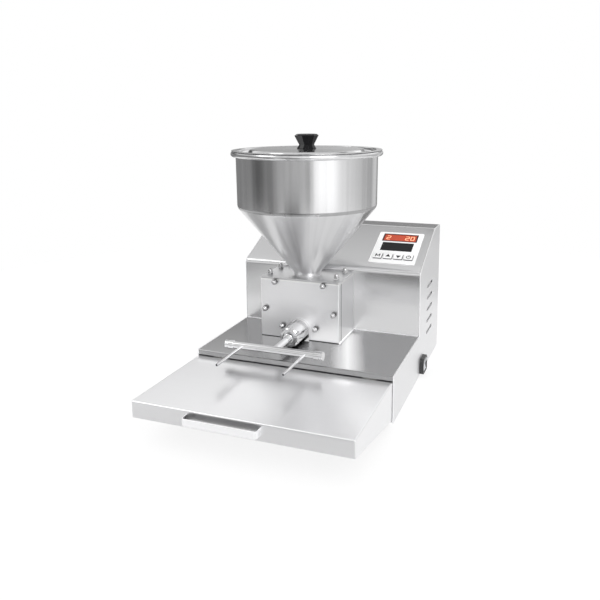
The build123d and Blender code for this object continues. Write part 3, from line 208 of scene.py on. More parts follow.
def round_off(bm, geom, setback, affect, segments):
    """Rounds corners or edges, starting at the given setback from them."""
    bmesh.ops.bevel(
        bm, geom=geom, offset=setback, offset_type="OFFSET", affect=affect,
        segments=segments, profile=0.5, material=-1,
    )


def turned(bm, profile, centre, steps, closed=False):
    """Adds a turned form: half a profile of (radius, height) or (radius, height, corner) swept round."""
    points = [bm.verts.new(Vector(centre) + Vector((point[0], 0, point[1]))) for point in profile]
    for pair in zip(points, points[1:]):
        bm.edges.new(pair)
    if closed:
        bm.edges.new((points[-1], points[0]))
    kept = set(bm.verts) - set(points)
    for corner, point in zip(points, profile):
        if len(point) > 2:
            round_off(bm, [corner], point[2], "VERTICES", 5)
    section = [v for v in bm.verts if v not in kept]
    wires = list({e for v in section for e in v.link_edges})
    bmesh.ops.spin(
        bm, geom=section + wires, cent=centre, axis=(0, 0, 1), angle=2 * math.pi, steps=steps, use_merge=True
    )
    made = [v for v in bm.verts if v not in kept]
    bmesh.ops.remove_doubles(bm, verts=made, dist=0.0005)
    made = [v for v in bm.verts if v not in kept]
    bmesh.ops.recalc_face_normals(bm, faces=list({f for v in made for f in v.link_faces}))


foot_half_x, foot_half_y = 156.0, 173.0
foot_profile = [(0, 1.2), (6, 1.2, 0.6), (7.5, 0, 0.8), (13.2, 0, 1.2), (15, 6, 0.5), (0, 6)]
foot_black = moulded("foot_black", (0.022, 0.022, 0.024), 0.62, grain=900.0, relief=0.4)
bm = bmesh.new()
for x in (-foot_half_x, foot_half_x):
    for y in (-foot_half_y, foot_half_y):
        turned(bm, foot_profile, (x, y, 0), 40)
add_piece("rubber_buttons", bm, [foot_black], "cabinet", ["rubber_feet"])
plate_steel = brushed("plate_steel", 0.6, 0.4, "Y")
screw_steel = brushed("screw_steel", 0.62, 0.22, "Z", pitch=0.6)
dress(plate_steel, "bottom_plate")
dress(screw_steel, "foot_screws", "rear_screws")

# Side panels
# Laser-cut cheeks of 2 mm stainless with a folded foot flange and rear flange.
# Each has a row of lanced vents with tongues leaning inwards, painted darker as shade, and the right one a
# switch cut-out.


def punched(outline, openings, scored=()):
    """A flat blank of convex outlines side by side, with rectangles (x, y, width, height) cut or scored."""
    bm = bmesh.new()
    for part in outline:
        bm.faces.new([bm.verts.new((x, y, 0)) for x, y in part])
    bmesh.ops.remove_doubles(bm, verts=bm.verts, dist=0.001)
    for x, y, width, height in [*openings, *scored]:
        for side in (-0.5, 0.5):
            for point, way in (((x + side * width, y, 0), (1, 0, 0)), ((x, y + side * height, 0), (0, 1, 0))):
                whole = bm.verts[:] + bm.edges[:] + bm.faces[:]
                bmesh.ops.bisect_plane(bm, geom=whole, dist=0.0001, plane_co=point, plane_no=way)
    waste = []
    for face in bm.faces:
        middle = face.calc_center_median()
        if any(abs(middle.x - x) < w / 2 and abs(middle.y - y) < h / 2 for x, y, w, h in openings):
            waste.append(face)
    bmesh.ops.delete(bm, geom=waste, context="FACES")
    return bm


def verts_of(geom):
    """The vertices among what an operator made."""
    return [part for part in geom if isinstance(part, bmesh.types.BMVert)]


def thicken(bm, depth):
    """Raises a flat blank to a plate that stands on its own plane."""
    bmesh.ops.recalc_face_normals(bm, faces=bm.faces)
    if bm.faces[:][0].normal.z > 0:
        bmesh.ops.reverse_faces(bm, faces=bm.faces)
    raised = bmesh.ops.extrude_face_region(bm, geom=bm.faces[:], use_keep_orig=True)["geom"]
    bmesh.ops.translate(bm, vec=(0, 0, depth), verts=verts_of(raised))
    bmesh.ops.recalc_face_normals(bm, faces=bm.faces)


def round_corners(bm, places, setback, segments=4, reach=0.05):
    """Rounds the upright corners of a plate at the given (x, y) places."""
    corners = []
    for edge in bm.edges:
        low, high = edge.verts
        upright = (low.co - high.co).xy.length < 0.001
        if upright and any((low.co.xy - Vector(place)).length < reach for place in places):
            corners.append(edge)
    round_off(bm, corners, setback, "EDGES", segments)


def corners_of(x, y, width, height):
    """The four corners of a rectangle by its middle, one after the other round it."""
    return [(x + i * width / 2, y + j * height / 2) for i, j in ((-1, -1), (-1, 1), (1, 1), (1, -1))]


def add_block(bm, size, middle, turn=Matrix()):
    """Adds a block, turned or leant about its own middle."""
    place = Matrix.Translation(middle) @ turn @ Matrix.Diagonal((*size, 1))
    bmesh.ops.create_cube(bm, size=1.0, matrix=place)


half_width, y_front, y_back = 190.0, -209.0, 209.0
z_floor, z_deck, y_face, z_bend = 4.0, 90.0, 4.0, 220.0
slope, slope_length = math.radians(23.2), 161.0
y_crest = y_face + slope_length * math.cos(slope)
z_roof = z_bend + slope_length * math.sin(slope)
bend_setback, crest_setback = 8.6, 2.7
cheek_sheet, flange, foot_length = 2.0, 14.0, 414.0
rear_sheet, rear_inset, rear_height = 1.5, 1.5, 263.8
x_cheek = half_width - cheek_sheet
x_flange = x_cheek - flange / 2
vent_rows, vent_y, vent_top, vent_pitch = 5, 107.0, 173.0, 24.7
vent_length, vent_width, vent_setback = 62.0, 7.0, 3.4
vents = [(vent_y, vent_top - vent_pitch * row, vent_length, vent_width) for row in range(vent_rows)]
tongue_size = (5.0, vent_length - vent_width, 1.5)
tongue_drop = (tongue_size[0] - vent_width - tongue_size[2]) / 2
switch_opening = (32.0, 22.5, 34.2, 29.2)
side_steel = brushed("side_steel", 0.8, 0.4, "Y", pull=0.3)
# Faces of the cheek that don't look to the side, its cut edges and flanges, are painted brighter as a
# highlight.
edge_highlight_steel = brushed("edge_highlight_steel", 0.96, 0.65, "Y")
# The vent tongues are painted darker, as the shade inside the slots.
tongue_shade_steel = brushed("tongue_shade_steel", 0.48, 0.45, "Y")
stood_up = Matrix(((0, 0, 1, x_cheek), (1, 0, 0, 0), (0, 1, 0, 0), (0, 0, 0, 1)))
leant = Matrix(((1, 0, 0, 0), (0, 1, 0, 0), (-1, 0, 1, 0), (0, 0, 0, 1)))
for name, side, node in (("left_cheek", -1, "side_panel_left"), ("right_cheek", 1, "side_panel_right")):
    bm = punched(
        [
            [(y_front, z_floor), (y_face, z_floor), (y_face, z_deck), (y_front, z_deck)],
            [
                (y_face, z_floor), (y_back, z_floor), (y_back, z_roof),
                (y_crest, z_roof), (y_face, z_bend), (y_face, z_deck),
            ],
        ],
        vents + [switch_opening] if side > 0 else vents,
    )
    thicken(bm, cheek_sheet)
    round_corners(bm, [(y_face, z_bend)], bend_setback, segments=6)
    round_corners(bm, [(y_crest, z_roof)], crest_setback)
    round_corners(bm, [corner for vent in vents for corner in corners_of(*vent)], vent_setback, segments=6)
    bmesh.ops.transform(bm, matrix=stood_up, verts=bm.verts)
    add_block(bm, (flange, foot_length, cheek_sheet), (x_flange, 0, z_floor + cheek_sheet / 2))
    y_rear = y_back - rear_inset - rear_sheet / 2
    add_block(bm, (flange, rear_sheet, rear_height), (x_flange, y_rear, z_floor + rear_height / 2))
    plain = set(bm.faces)
    for y, z in (vent[:2] for vent in vents):
        add_block(bm, tongue_size, (x_cheek - tongue_size[0] / 2, y, z + tongue_drop), leant)
    if side < 0:
        bmesh.ops.scale(bm, vec=(-1, 1, 1), verts=bm.verts)
        bmesh.ops.reverse_faces(bm, faces=bm.faces)
    for face in bm.faces:
        face.normal_update()
        face.material_index = int(abs(face.normal.x) < 0.5) if face in plain else 2
    add_piece(
        name, bm, [side_steel, edge_highlight_steel, tongue_shade_steel], "cabinet", [node], edge=0.4
    )

# Deck
# One sheet from the front lip to the back of the cabinet, folded down along its front.
# It carries the pump and the drive, and its bright ground face mirrors them.


def face_outwards(bm, way):
    """Turns a sheet over where its outermost face on that side looks inwards."""
    outer = max(bm.faces, key=lambda face: face.calc_center_median().dot(way))
    if outer.normal.dot(way) < 0:
        bmesh.ops.reverse_faces(bm, faces=bm.faces)


def folded(points, setbacks, drawn_out, outside):
    """A sheet with rounded folds: a line of points drawn out to the full width."""
    bm = bmesh.new()
    line = [bm.verts.new(point) for point in points]
    for pair in zip(line, line[1:]):
        bm.edges.new(pair)
    for corner, setback in zip(line[1:-1], setbacks):
        round_off(bm, [corner], setback, "VERTICES", 6)
    drawn = bmesh.ops.extrude_edge_only(bm, edges=bm.edges[:])["geom"]
    bmesh.ops.translate(bm, vec=drawn_out, verts=verts_of(drawn))
    bmesh.ops.recalc_face_normals(bm, faces=bm.faces)
    face_outwards(bm, outside)
    return bm


inner_half, gauge, fold = 187.9, 1.5, 2.5
deck_lip, deck_gap = 9.5, 3.1
sheet_width, up = (2 * inner_half, 0, 0), Vector((0, 0, 1))
deck_steel = brushed("deck_steel", 0.42, 0.22, "X", pitch=0.8, pull=0.35, cloud=0.025)
deck_line = [(y_front, z_deck - deck_lip), (y_front, z_deck), (y_back - deck_gap, z_deck)]
bm = folded([(-inner_half, y, z) for y, z in deck_line], [fold], sheet_width, up)
add_piece("deck_sheet", bm, [deck_steel], "cabinet", ["base_deck"], sheet=gauge, edge=0.4)

# Housing cover
# Front face, slope and roof in one folded sheet with soft bends, screwed down by its foot flange.
# The slope has a cut-out for the controls.
panel_x, panel_along, panel_width, panel_length, panel_lap = 124.5, 78.0, 95.0, 112.0, 4.0
cover_steel = brushed("cover_steel", 0.74, 0.22, "X", pitch=0.7, relief=0.006, pull=0.85, cloud=0.008)
cover_line = [
    (y_face + flange, z_deck), (y_face, z_deck), (y_face, z_bend), (y_crest, z_roof),
    (y_back - gauge, z_roof), (y_back - gauge, z_roof - flange),
]
bm = folded(
    [(-inner_half, y, z) for y, z in cover_line], [fold, bend_setback, crest_setback, fold], sheet_width, up
)
bend, ramp = Vector((0, y_face, z_bend)), Vector((0, math.cos(slope), math.sin(slope)))
cut_x, cut_along = panel_width / 2 - panel_lap, panel_length / 2 - panel_lap
for way, middle, half in (
    (Vector((1, 0, 0)), Vector((panel_x, 0, 0)), cut_x),
    (ramp, bend + ramp * panel_along, cut_along),
):
    for side in (-1, 1):
        tilted = [f for f in bm.faces if abs(abs(f.normal.z) - math.cos(slope)) < 0.01]
        edges, verts = {e for f in tilted for e in f.edges}, {v for f in tilted for v in f.verts}
        bmesh.ops.bisect_plane(
            bm, geom=[*tilted, *edges, *verts], dist=0.0001, plane_co=middle + side * half * way, plane_no=way
        )
waste = []
for face in bm.faces:
    middle = face.calc_center_median()
    if abs(middle.x - panel_x) < cut_x and abs((middle - bend).dot(ramp) - panel_along) < cut_along:
        waste.append(face)
bmesh.ops.delete(bm, geom=waste, context="FACES")
add_piece(
    "cover_sheet", bm, [cover_steel], "cabinet", ["housing_cover"], sheet=gauge, edge=0.3
)

# Back of the cabinet
# A flat screwed-on panel with two columns of slots, and a moulded gland where the supply lead goes in.
# The gland is clamped by a locknut from inside.
back_steel = brushed("back_steel", 0.64, 0.36, "Z", pull=0.3)
gland_black = moulded("gland_black", (0.03, 0.03, 0.032), 0.42, grain=500.0)
dress(back_steel, "rear_panel")
dress(gland_black, "cable_gland", "gland_locknut")

# Tray slides
# Nylon strips on the bottom plate and nylon blocks under the deck.
# They are cut from bar, and the tray runs on them.
slide_nylon = moulded("slide_nylon", (0.78, 0.77, 0.72), 0.5)
dress(slide_nylon, "tray_rails", "tray_guides")

# Pull-out tray
# Folded from one sheet, open below, taller at the cabinet than at the front, with welded front corners.
# Its sides are ground lengthways, and a stop lip at its tail keeps it from coming right out.
tray_half, z_tray, z_heel = 187.6, 79.0, 9.3
y_tray, y_tail, y_heel = -425.0, -149.0, -197.0
front_drop, tail_drop = 28.5, 27.0
stop_half, stop_rise = 172.6, 6.0
tray_steel = brushed("tray_steel", 0.97, 0.3, "X", relief=0.004, pull=0.3, cloud=0.012)
skirt_steel = brushed("skirt_steel", 0.86, 0.3, "Y", relief=0.004, pull=0.3, cloud=0.012)
bm = bmesh.new()
skirt = [
    (y_tray, z_tray), (y_tray, z_tray - front_drop), (y_front, z_heel), (y_heel, z_heel),
    (y_heel, z_tray - tail_drop), (y_tail, z_tray - tail_drop), (y_tail, z_tray),
]
for side in (-1, 1):
    bm.faces.new([bm.verts.new((side * tray_half, y, z)) for y, z in skirt])
for low, high in ((skirt[0], skirt[1]), (skirt[0], skirt[-1])):
    ring = ((-tray_half, low), (tray_half, low), (tray_half, high), (-tray_half, high))
    bm.faces.new([bm.verts.new((x, *point)) for x, point in ring])
bmesh.ops.remove_doubles(bm, verts=bm.verts, dist=0.001)
bmesh.ops.recalc_face_normals(bm, faces=bm.faces)
face_outwards(bm, up)
round_off(bm, [e for e in bm.edges if len(e.link_faces) == 2], fold, "EDGES", 5)
z_foot = z_tray - front_drop
front_foot = [
    e for e in bm.edges
    if e.is_boundary and all(abs(v.co.y - y_tray) < 0.01 and v.co.z < z_foot + 0.5 for v in e.verts)
]
turned_in = bmesh.ops.extrude_edge_only(bm, edges=front_foot)["geom"]
bmesh.ops.translate(bm, vec=(0, flange, 0), verts=verts_of(turned_in))
bmesh.ops.create_grid(
    bm, x_segments=1, y_segments=1, size=1.0,
    matrix=Matrix.Translation((0, y_tail, z_tray + stop_rise / 2)) @ Matrix.Rotation(-math.pi / 2, 4, "X")
    @ Matrix.Diagonal((stop_half, stop_rise / 2, 1, 1)),
)
for face in bm.faces:
    face.material_index = int(abs(face.normal.x) > 0.7)
add_piece(
    "tray_sheet", bm, [tray_steel, skirt_steel], "pull_out_tray", ["tray"],
    sheet=gauge, edge=0.4,
)

# Tray handle
# A flat strip bent into a U and welded by its ends to the front of the tray.
# It is ground outside, and its inner face is painted dark as shade.
handle_x, handle_half, z_handle = -24.0, 64.5, 59.0
handle_reach, handle_setback, handle_width, handle_sheet = 13.5, 6.0, 12.0, 2.0
handle_steel = brushed("handle_steel", 0.9, 0.42, "X", relief=0.006, cloud=0.012, metal=0.5)
handle_inner_shade = brushed("handle_inner_shade", 0.26, 0.5, "X")
left, right, y_grip = handle_x - handle_half, handle_x + handle_half, y_tray - handle_reach
bm = folded(
    [(x, y, z_handle) for x, y in ((left, y_tray), (left, y_grip), (right, y_grip), (right, y_tray))],
    [handle_setback, handle_setback], (0, 0, handle_width), Vector((0, -1, 0)),
)
handle = add_piece(
    "handle_strip", bm, [handle_steel, handle_inner_shade], "pull_out_tray", ["tray_handle"],
    sheet=handle_sheet, edge=0.5,
)
handle.modifiers["wall"].material_offset = 1

# Drive inside the cabinet
# A geared motor on an angle bracket turns the pump through a clamped coupling.
# A boxed power supply stands beside it.
bracket_zinc = brushed("bracket_zinc", 0.5, 0.42, "Z", tint=(0.98, 1.0, 1.03))
gearbox_alloy = brushed("gearbox_alloy", 0.46, 0.5, "Y", pitch=2.4)
shaft_steel = brushed("shaft_steel", 0.58, 0.2, "Z", pitch=0.5)
motor_paint = moulded("motor_paint", (0.035, 0.036, 0.04), 0.45, grain=420.0)
supply_alloy = brushed("supply_alloy", 0.6, 0.45, "X", pitch=1.8)
dress(bracket_zinc, "motor_bracket", "backing_plate")
dress(gearbox_alloy, "gearbox")
dress(shaft_steel, "shaft_coupling", "output_shaft", "mount_bolts", "drive_screws")
dress(motor_paint, "motor")
dress(supply_alloy, "power_supply")

# Gear pump
# Body and cover are milled from solid stainless and ground. Two meshing gears run in bronze bushes.
# Six studs clamp the cover against a ring seal, which leaves a dark joint line round the block.
# A black strip under its front is a painted contact shadow, and a fine bead in the bright edge steel, painted
# as a highlight line, runs where block and housing meet the deck.
pump_x, pump_width, pump_height = -28.5, 164.0, 116.5
y_joint, joint_width, joint_proud, joint_depth = -77.5, 1.6, 0.08, 3.0
y_cover, shadow_strip_height, shadow_strip_depth, shadow_strip_proud = -91.5, 1.1, 12.0, 0.3
foot_bead, bead_end = 1.3, half_width - 3.0
# The block's faces that look to the left and right are painted darker as shade.
block_steel = brushed("block_steel", 0.96, 0.3, "X", relief=0.006, cloud=0.012, flank_shade=0.74)
gear_steel = brushed("gear_steel", 0.56, 0.26, "Y", pitch=0.7)
bush_bronze = brushed("bush_bronze", 0.62, 0.34, "Y", pitch=0.6, tint=(0.95, 0.66, 0.36))
food_seal = moulded("food_seal", (0.82, 0.82, 0.8), 0.55)
joint_and_shadow_black = moulded("joint_and_shadow_black", (0.02, 0.02, 0.022), 0.6)
dress(block_steel, "pump_body", "pump_cover")
dress(gear_steel, "drive_gear", "driven_gear", "drive_shaft", "clamp_studs")
dress(bush_bronze, "shaft_bushes")
dress(food_seal, "cover_seal", "shaft_seal", "union_seal", "hopper_gasket")
z_pump = z_deck + pump_height / 2
joint_outside = (pump_x, z_pump, pump_width + joint_proud, pump_height + joint_proud)
joint_inside = (pump_x, z_pump, pump_width - joint_depth, pump_height - joint_depth)
bm = punched([corners_of(*joint_outside)], [joint_inside])
thicken(bm, joint_width)
bmesh.ops.transform(
    bm, verts=bm.verts,
    matrix=Matrix.Translation((0, y_joint + joint_width / 2, 0)) @ Matrix.Rotation(math.pi / 2, 4, "X"),
)
add_piece("joint_line", bm, [joint_and_shadow_black], "cabinet")
# A black strip at the block's foot stands in for its contact shadow: painted shade.
bm = bmesh.new()
add_block(
    bm, (pump_width, shadow_strip_depth, shadow_strip_height),
    (pump_x, y_cover - shadow_strip_proud + shadow_strip_depth / 2, z_deck + shadow_strip_height / 2),
)
add_piece("foot_shadow_strip", bm, [joint_and_shadow_black], "cabinet", edge=0.3)
# A bead along the foot of the block and housing, in the bright edge steel: a painted highlight line.
bm = bmesh.new()
for side in (-1, 1):
    x_side = pump_x + side * pump_width / 2
    run = bead_end - side * pump_x - pump_width / 2
    along_housing = (run, (x_side + side * run / 2, y_face), (0, 1, 0))
    along_block = (y_face - y_cover, (x_side, (y_face + y_cover) / 2), (1, 0, 0))
    for length, middle, axis in (along_housing, along_block):
        bmesh.ops.create_cone(
            bm, cap_ends=True, segments=12, radius1=foot_bead, radius2=foot_bead, depth=length,
            matrix=Matrix.Translation((*middle, z_deck)) @ Matrix.Rotation(math.pi / 2, 4, axis),
        )
add_piece("highlight_bead", bm, [edge_highlight_steel], "cabinet")

# Dome nuts
# Polished stainless dome nuts on the studs: six on the pump cover and four on the hopper flange.
# Each has a chamfered hexagon and a round cap. On the cover the hexagon is painted near black as shade, and
# faces that look down carry painted shade.
z_gear, y_axis, z_neck = 147.3, -43.75, 211.5
cover_studs = ((50.3, 203.275), (71.375, z_gear), (34.7, 115.125))
flange_stud_x, flange_stud_y = 70.0, 27.0
hexagon_radius, hexagon_height, chamfer = 5.7735, 6.0, 0.45
dome_profile = [(4.6, 5.5), (4.6, 7.6), (4.2, 9.3), (3.1, 10.9), (1.7, 11.75), (0, 12)]
nut_steel = brushed("nut_steel", 0.58, 0.1, "Z", pitch=0.4, underside_shade=0.1)
shaded_nut_steel = brushed("shaded_nut_steel", 0.06, 0.2, "Z", pitch=0.4)
forwards = Matrix.Rotation(math.pi / 2, 4, "X")
seats = []
for side in (-1, 1):
    for x, z in cover_studs:
        seats.append((Matrix.Translation((pump_x + side * x, y_cover, z)) @ forwards, 1))
    for y in (-flange_stud_y, flange_stud_y):
        seats.append((Matrix.Translation((pump_x + side * flange_stud_x, y_axis + y, z_neck)), 0))
bm = bmesh.new()
for seat, shaded_hexagon in seats:
    before = set(bm.verts)
    hexagon = bmesh.ops.create_cone(
        bm, cap_ends=True, segments=6, radius1=hexagon_radius, radius2=hexagon_radius, depth=hexagon_height,
        matrix=Matrix.Translation((0, 0, hexagon_height / 2)) @ Matrix.Rotation(math.pi / 6, 4, "Z"),
    )["verts"]
    round_off(bm, list({e for v in hexagon for e in v.link_edges}), chamfer, "EDGES", 2)
    turned(bm, dome_profile, (0, 0, 0), 24)
    made = [v for v in bm.verts if v not in before]
    for face in {f for v in made for f in v.link_faces}:
        face.material_index = shaded_hexagon if max(v.co.z for v in face.verts) < hexagon_height - 0.1 else 0
    bmesh.ops.transform(bm, matrix=seat, verts=made)
add_piece(
    "cap_nuts", bm, [nut_steel, shaded_nut_steel], "cabinet", ["dome_nuts"], crease=40.0
)

# Outlet and needle bar
# The spigot plate is screwed to the pump. A slotted union nut clamps the feed tube to it.
# Cross tube, caps and needles are drawn stainless tube, polished, and the caps screw off for cleaning.
# The spigot, union nut and tubes are painted darker as shade on faces that look down.
turned_steel = brushed("turned_steel", 0.68, 0.12, "X", pitch=0.5, relief=0.03, underside_shade=0.15)
tube_steel = brushed("tube_steel", 0.76, 0.08, "X", pitch=0.5, relief=0.01, underside_shade=0.1)
dress(turned_steel, "outlet_spigot", "union_nut")
dress(tube_steel, "feed_tube", "needle_bar", "bar_caps", "filling_needles")

# Hopper
# Spun from one sheet: neck, cone and barrel, with the rim rolled outwards into a bead.
# The neck is welded to a flange plate that sits on a gasket.


def spun(name, shade, rough, pull, drawn, depth=0.07, relief=0.05):
    """Spun and polished sheet: fine rings round the vertical axis, and faint streaks drawn down its wall."""
    streak_scale, mark_scale, mark_share, ring_depth = 70.0, 11.0, 0.5, 0.00005
    finish, tree, shader, place = new_finish(name, metal=1.0)
    middle = (pump_x * millimetre, y_axis * millimetre, 0)
    centred = add_node(tree, "VectorMath", {0: place, 1: middle}, operation="SUBTRACT")
    parts = add_node(tree, "SeparateXYZ", {"Vector": centred.outputs["Vector"]}).outputs
    flat = add_node(tree, "CombineXYZ", {"X": parts["X"], "Y": parts["Y"]}).outputs["Vector"]
    radius = add_node(tree, "VectorMath", {0: flat}, operation="LENGTH").outputs["Value"]
    ring = add_node(tree, "CombineXYZ", {"X": radius, "Y": parts["Z"]}).outputs["Vector"]
    rings = noise(tree, ring, 1.0 / (ring_pitch * millimetre), 2.0)
    across = worked(tree, parts["Y"], "MULTIPLY", -1.0)
    facing = add_node(tree, "CombineXYZ", {"X": across, "Y": parts["X"]}).outputs["Vector"]
    turn = add_node(tree, "TexGradient", {"Vector": facing}, gradient_type="RADIAL").outputs["Fac"]
    streaks = add_node(
        tree, "TexNoise", {"W": turn, "Scale": streak_scale, "Detail": 2.0}, noise_dimensions="1D"
    ).outputs["Fac"]
    marked = mix(tree, mark_share, rings, noise(tree, place, mark_scale, 4.0))
    wear = mix(tree, drawn, marked, streaks)
    colour = two_tone(tree, wear, (shade, shade, 1.01 * shade), 1 - depth, 1 + depth)
    lay_on(tree, shader, colour, wear, rough, 2 * depth, rings, relief, ring_depth)
    shader.inputs["Anisotropic"].default_value = pull
    shader.inputs["Anisotropic Rotation"].default_value = 0.25
    round_about = add_node(tree, "Tangent", direction_type="RADIAL", axis="Z")
    tree.links.new(round_about.outputs["Tangent"], shader.inputs["Tangent"])
    return finish


ring_pitch, spin_steps = 0.9, 160
hopper_axis = (pump_x, y_axis, 0)
neck, neck_rise, neck_rise_inside, neck_corner = 27.0, 6.0, 6.6, 4.0
barrel, rim_wall, shoulder_corner, hopper_sheet = 136.8, 137.9, 4.3, 1.5
z_shoulder, z_wall, z_rim, rim_bead = 350.5, 455.5, 458.5, 5.2
bend_below, bend_above = 1.6, 3.6
hopper_steel = spun("hopper_steel", 0.7, 0.2, 0.35, 0.6)
cone_steel = spun("cone_steel", 0.7, 0.3, 0.6, 0.85, depth=0.03, relief=0.02)
# The band round the shoulder bend is a darker spun finish: painted shade.
shoulder_shade_steel = spun("shoulder_shade_steel", 0.4, 0.3, 0.35, 0.6)
flange_steel = brushed("flange_steel", 0.68, 0.34, "X", relief=0.006, cloud=0.012)
hopper_outside = [
    (neck, z_neck), (neck, z_neck + neck_rise, neck_corner),
    (barrel, z_shoulder, shoulder_corner), (rim_wall, z_wall),
]
hopper_inside = [
    (rim_wall - hopper_sheet, z_wall), (barrel - hopper_sheet, z_shoulder, shoulder_corner),
    (neck - hopper_sheet, z_neck + neck_rise_inside, neck_corner), (neck - hopper_sheet, z_neck),
]
bm = bmesh.new()
turned(bm, hopper_outside + hopper_inside, hopper_axis, spin_steps, closed=True)
kept = set(bm.verts)
x_bead = pump_x + rim_wall + rim_bead - hopper_sheet / 2
bead = bmesh.ops.create_circle(
    bm, segments=24, radius=rim_bead, matrix=Matrix.Translation((x_bead, y_axis, z_rim - rim_bead)) @ forwards
)["verts"]
bmesh.ops.spin(
    bm, geom=bead + list({e for v in bead for e in v.link_edges}), cent=hopper_axis, axis=(0, 0, 1),
    angle=2 * math.pi, steps=spin_steps, use_merge=True,
)
rolled = [v for v in bm.verts if v not in kept]
bmesh.ops.recalc_face_normals(bm, faces=list({f for v in rolled for f in v.link_faces}))
# Faces round the shoulder bend take the painted shade band.
for face in bm.faces:
    middle = face.calc_center_median()
    if z_shoulder - bend_below < middle.z < z_shoulder + bend_above:
        face.material_index = 2
    elif z_neck < middle.z < z_shoulder:
        face.material_index = 1
hopper_finishes = [hopper_steel, cone_steel, shoulder_shade_steel]
add_piece("spun_hopper", bm, hopper_finishes, "cabinet", ["hopper_shell"])
dress(flange_steel, "hopper_flange")

# Lid
# Pressed from thin sheet: a flat rim that lies on the bead, a well that drops inside it and a raised crown.
# A black moulded knob with twelve facets is screwed on from below.
z_lid, z_knob, lid_sheet = 459.7, 461.7, 1.0
well_drop, crown_edge, crown_rise = 6.0, 1.0, 2.0
knob_facets, knob_foot, knob_rim, knob_dish = 12, 19.5, 5.0, 0.5
knob_levels = ((7.6, 14.8), (25.0, 23.7), (28.0, 19.5))
lid_steel = spun("lid_steel", 0.76, 0.13, 0.3, 0.2)
knob_black = moulded("knob_black", (0.004, 0.004, 0.005), 0.08, grain=260.0, relief=0.02, gloss=0.2)
lid_profile = [
    (146.1, z_lid), (134.6, z_lid, 1.2), (133.2, z_lid - well_drop, 1.4), (116.1, z_lid - well_drop, 2.4),
    (110.9, z_lid + crown_edge, 2.4), (20.5, z_lid + crown_rise), (0, z_lid + crown_rise),
]
bm = bmesh.new()
turned(bm, lid_profile, hopper_axis, spin_steps)
face_outwards(bm, up)
add_piece("pressed_lid", bm, [lid_steel], "hopper_lid", ["lid"], sheet=lid_sheet, edge=0.3)
dress(screw_steel, "knob_screw")
bm = bmesh.new()
bmesh.ops.create_circle(
    bm, cap_ends=True, segments=knob_facets, radius=knob_foot,
    matrix=Matrix.Translation((pump_x, y_axis, z_knob)),
)
crown = bm.faces[:]
for index, (rise, radius) in enumerate(knob_levels):
    raised = bmesh.ops.extrude_face_region(bm, geom=crown, use_keep_orig=index == 0)["geom"]
    crown = [part for part in raised if isinstance(part, bmesh.types.BMFace)]
    level = verts_of(raised)
    grow = radius / (level[0].co.xy - Vector((pump_x, y_axis))).length
    bmesh.ops.scale(bm, vec=(grow, grow, 1), verts=level, space=Matrix.Translation((-pump_x, -y_axis, 0)))
    bmesh.ops.translate(bm, vec=(0, 0, z_knob + rise - level[0].co.z), verts=level)
bmesh.ops.inset_individual(bm, faces=crown, thickness=knob_rim, depth=-knob_dish)
bmesh.ops.recalc_face_normals(bm, faces=bm.faces)
add_piece("facet_knob", bm, [knob_black], "hopper_lid", ["lid_knob"], edge=0.7, crease=14.0)

# Control panel
# A white moulded frame on the slope holds a red display window and a black one, each with a printed surround.
# Board, display modules and standoffs are behind it.
frame_sheet, frame_corner, surround = 1.6, 3.0, 3.2
key_pitch, keys_along, key_opening, key_corner = 21.3, 44.5, 18.6, 1.5
pane_sheet, pane_gap, pane_border, pane_step, pane_sink = 1.5, 0.1, 2.0, 0.4, 0.25
upper, lower = (panel_x, 114.0, 71.0, 25.0), (panel_x, 80.5, 63.0, 27.0)
keys = [(panel_x + key_pitch * (index - 1.5), keys_along, key_opening, key_opening) for index in range(4)]
panel_white = moulded("panel_white", (0.97, 0.97, 0.97), 0.38, grain=900.0, relief=0.1)
window_red = moulded("window_red", (0.55, 0.075, 0.032), 0.25, grain=320.0, relief=0.05, gloss=0.25)
window_border = moulded("window_border", (0.06, 0.008, 0.007), 0.3, gloss=0.25)
window_black = moulded("window_black", (0.004, 0.004, 0.005), 0.12, grain=320.0, relief=0.03, gloss=0.25)
board_green = moulded("board_green", (0.02, 0.16, 0.06), 0.4)
display_grey = moulded("display_grey", (0.1, 0.1, 0.1), 0.5)
standoff_brass = brushed("standoff_brass", 0.7, 0.28, "Z", tint=(1.0, 0.78, 0.42))
on_slope = Matrix.Translation(bend) @ Matrix.Rotation(slope, 4, "X")
printed = [(x, y, width + surround, height + surround) for x, y, width, height in (upper, lower)]
panel_corners = corners_of(panel_x, panel_along, panel_width, panel_length)
bm = punched([panel_corners], [upper, lower] + keys, printed)
thicken(bm, frame_sheet)
for face in bm.faces:
    middle = face.calc_center_median()
    for index, (x, y, width, height) in enumerate(printed):
        if abs(middle.x - x) < width / 2 and abs(middle.y - y) < height / 2:
            face.material_index = index + 1
round_corners(bm, panel_corners, frame_corner)
round_corners(bm, [corner for key in keys for corner in corners_of(*key)], key_corner)
bmesh.ops.transform(bm, matrix=on_slope, verts=bm.verts)
add_piece(
    "white_frame", bm, [panel_white, window_border, window_black], "cabinet",
    ["control_frame"], edge=0.35,
)
for name, (x, y, width, height), finish, border, slot, node in (
    ("display_pane", upper, window_red, window_border, "window_red", "upper_window"),
    ("dark_pane", lower, window_black, window_black, "window_black", "lower_window"),
):
    bm = bmesh.new()
    add_block(bm, (width - pane_gap, height - pane_gap, pane_sheet), (x, y, pane_sheet / 2))
    window = max(bm.faces, key=lambda face: face.calc_center_median().z)
    bmesh.ops.inset_individual(bm, faces=[window], thickness=pane_border, depth=0.0)
    bmesh.ops.inset_individual(bm, faces=[window], thickness=pane_step, depth=-pane_sink)
    for face in bm.faces:
        face.material_index = int(face is not window)
    bmesh.ops.transform(bm, matrix=on_slope, verts=bm.verts)
    pane = add_piece(name, bm, [finish, border], "cabinet", [node], edge=0.15)
    pane.visible_glossy = False
dress(board_green, "control_board")
dress(display_grey, "display_modules")
dress(standoff_brass, "board_standoffs")

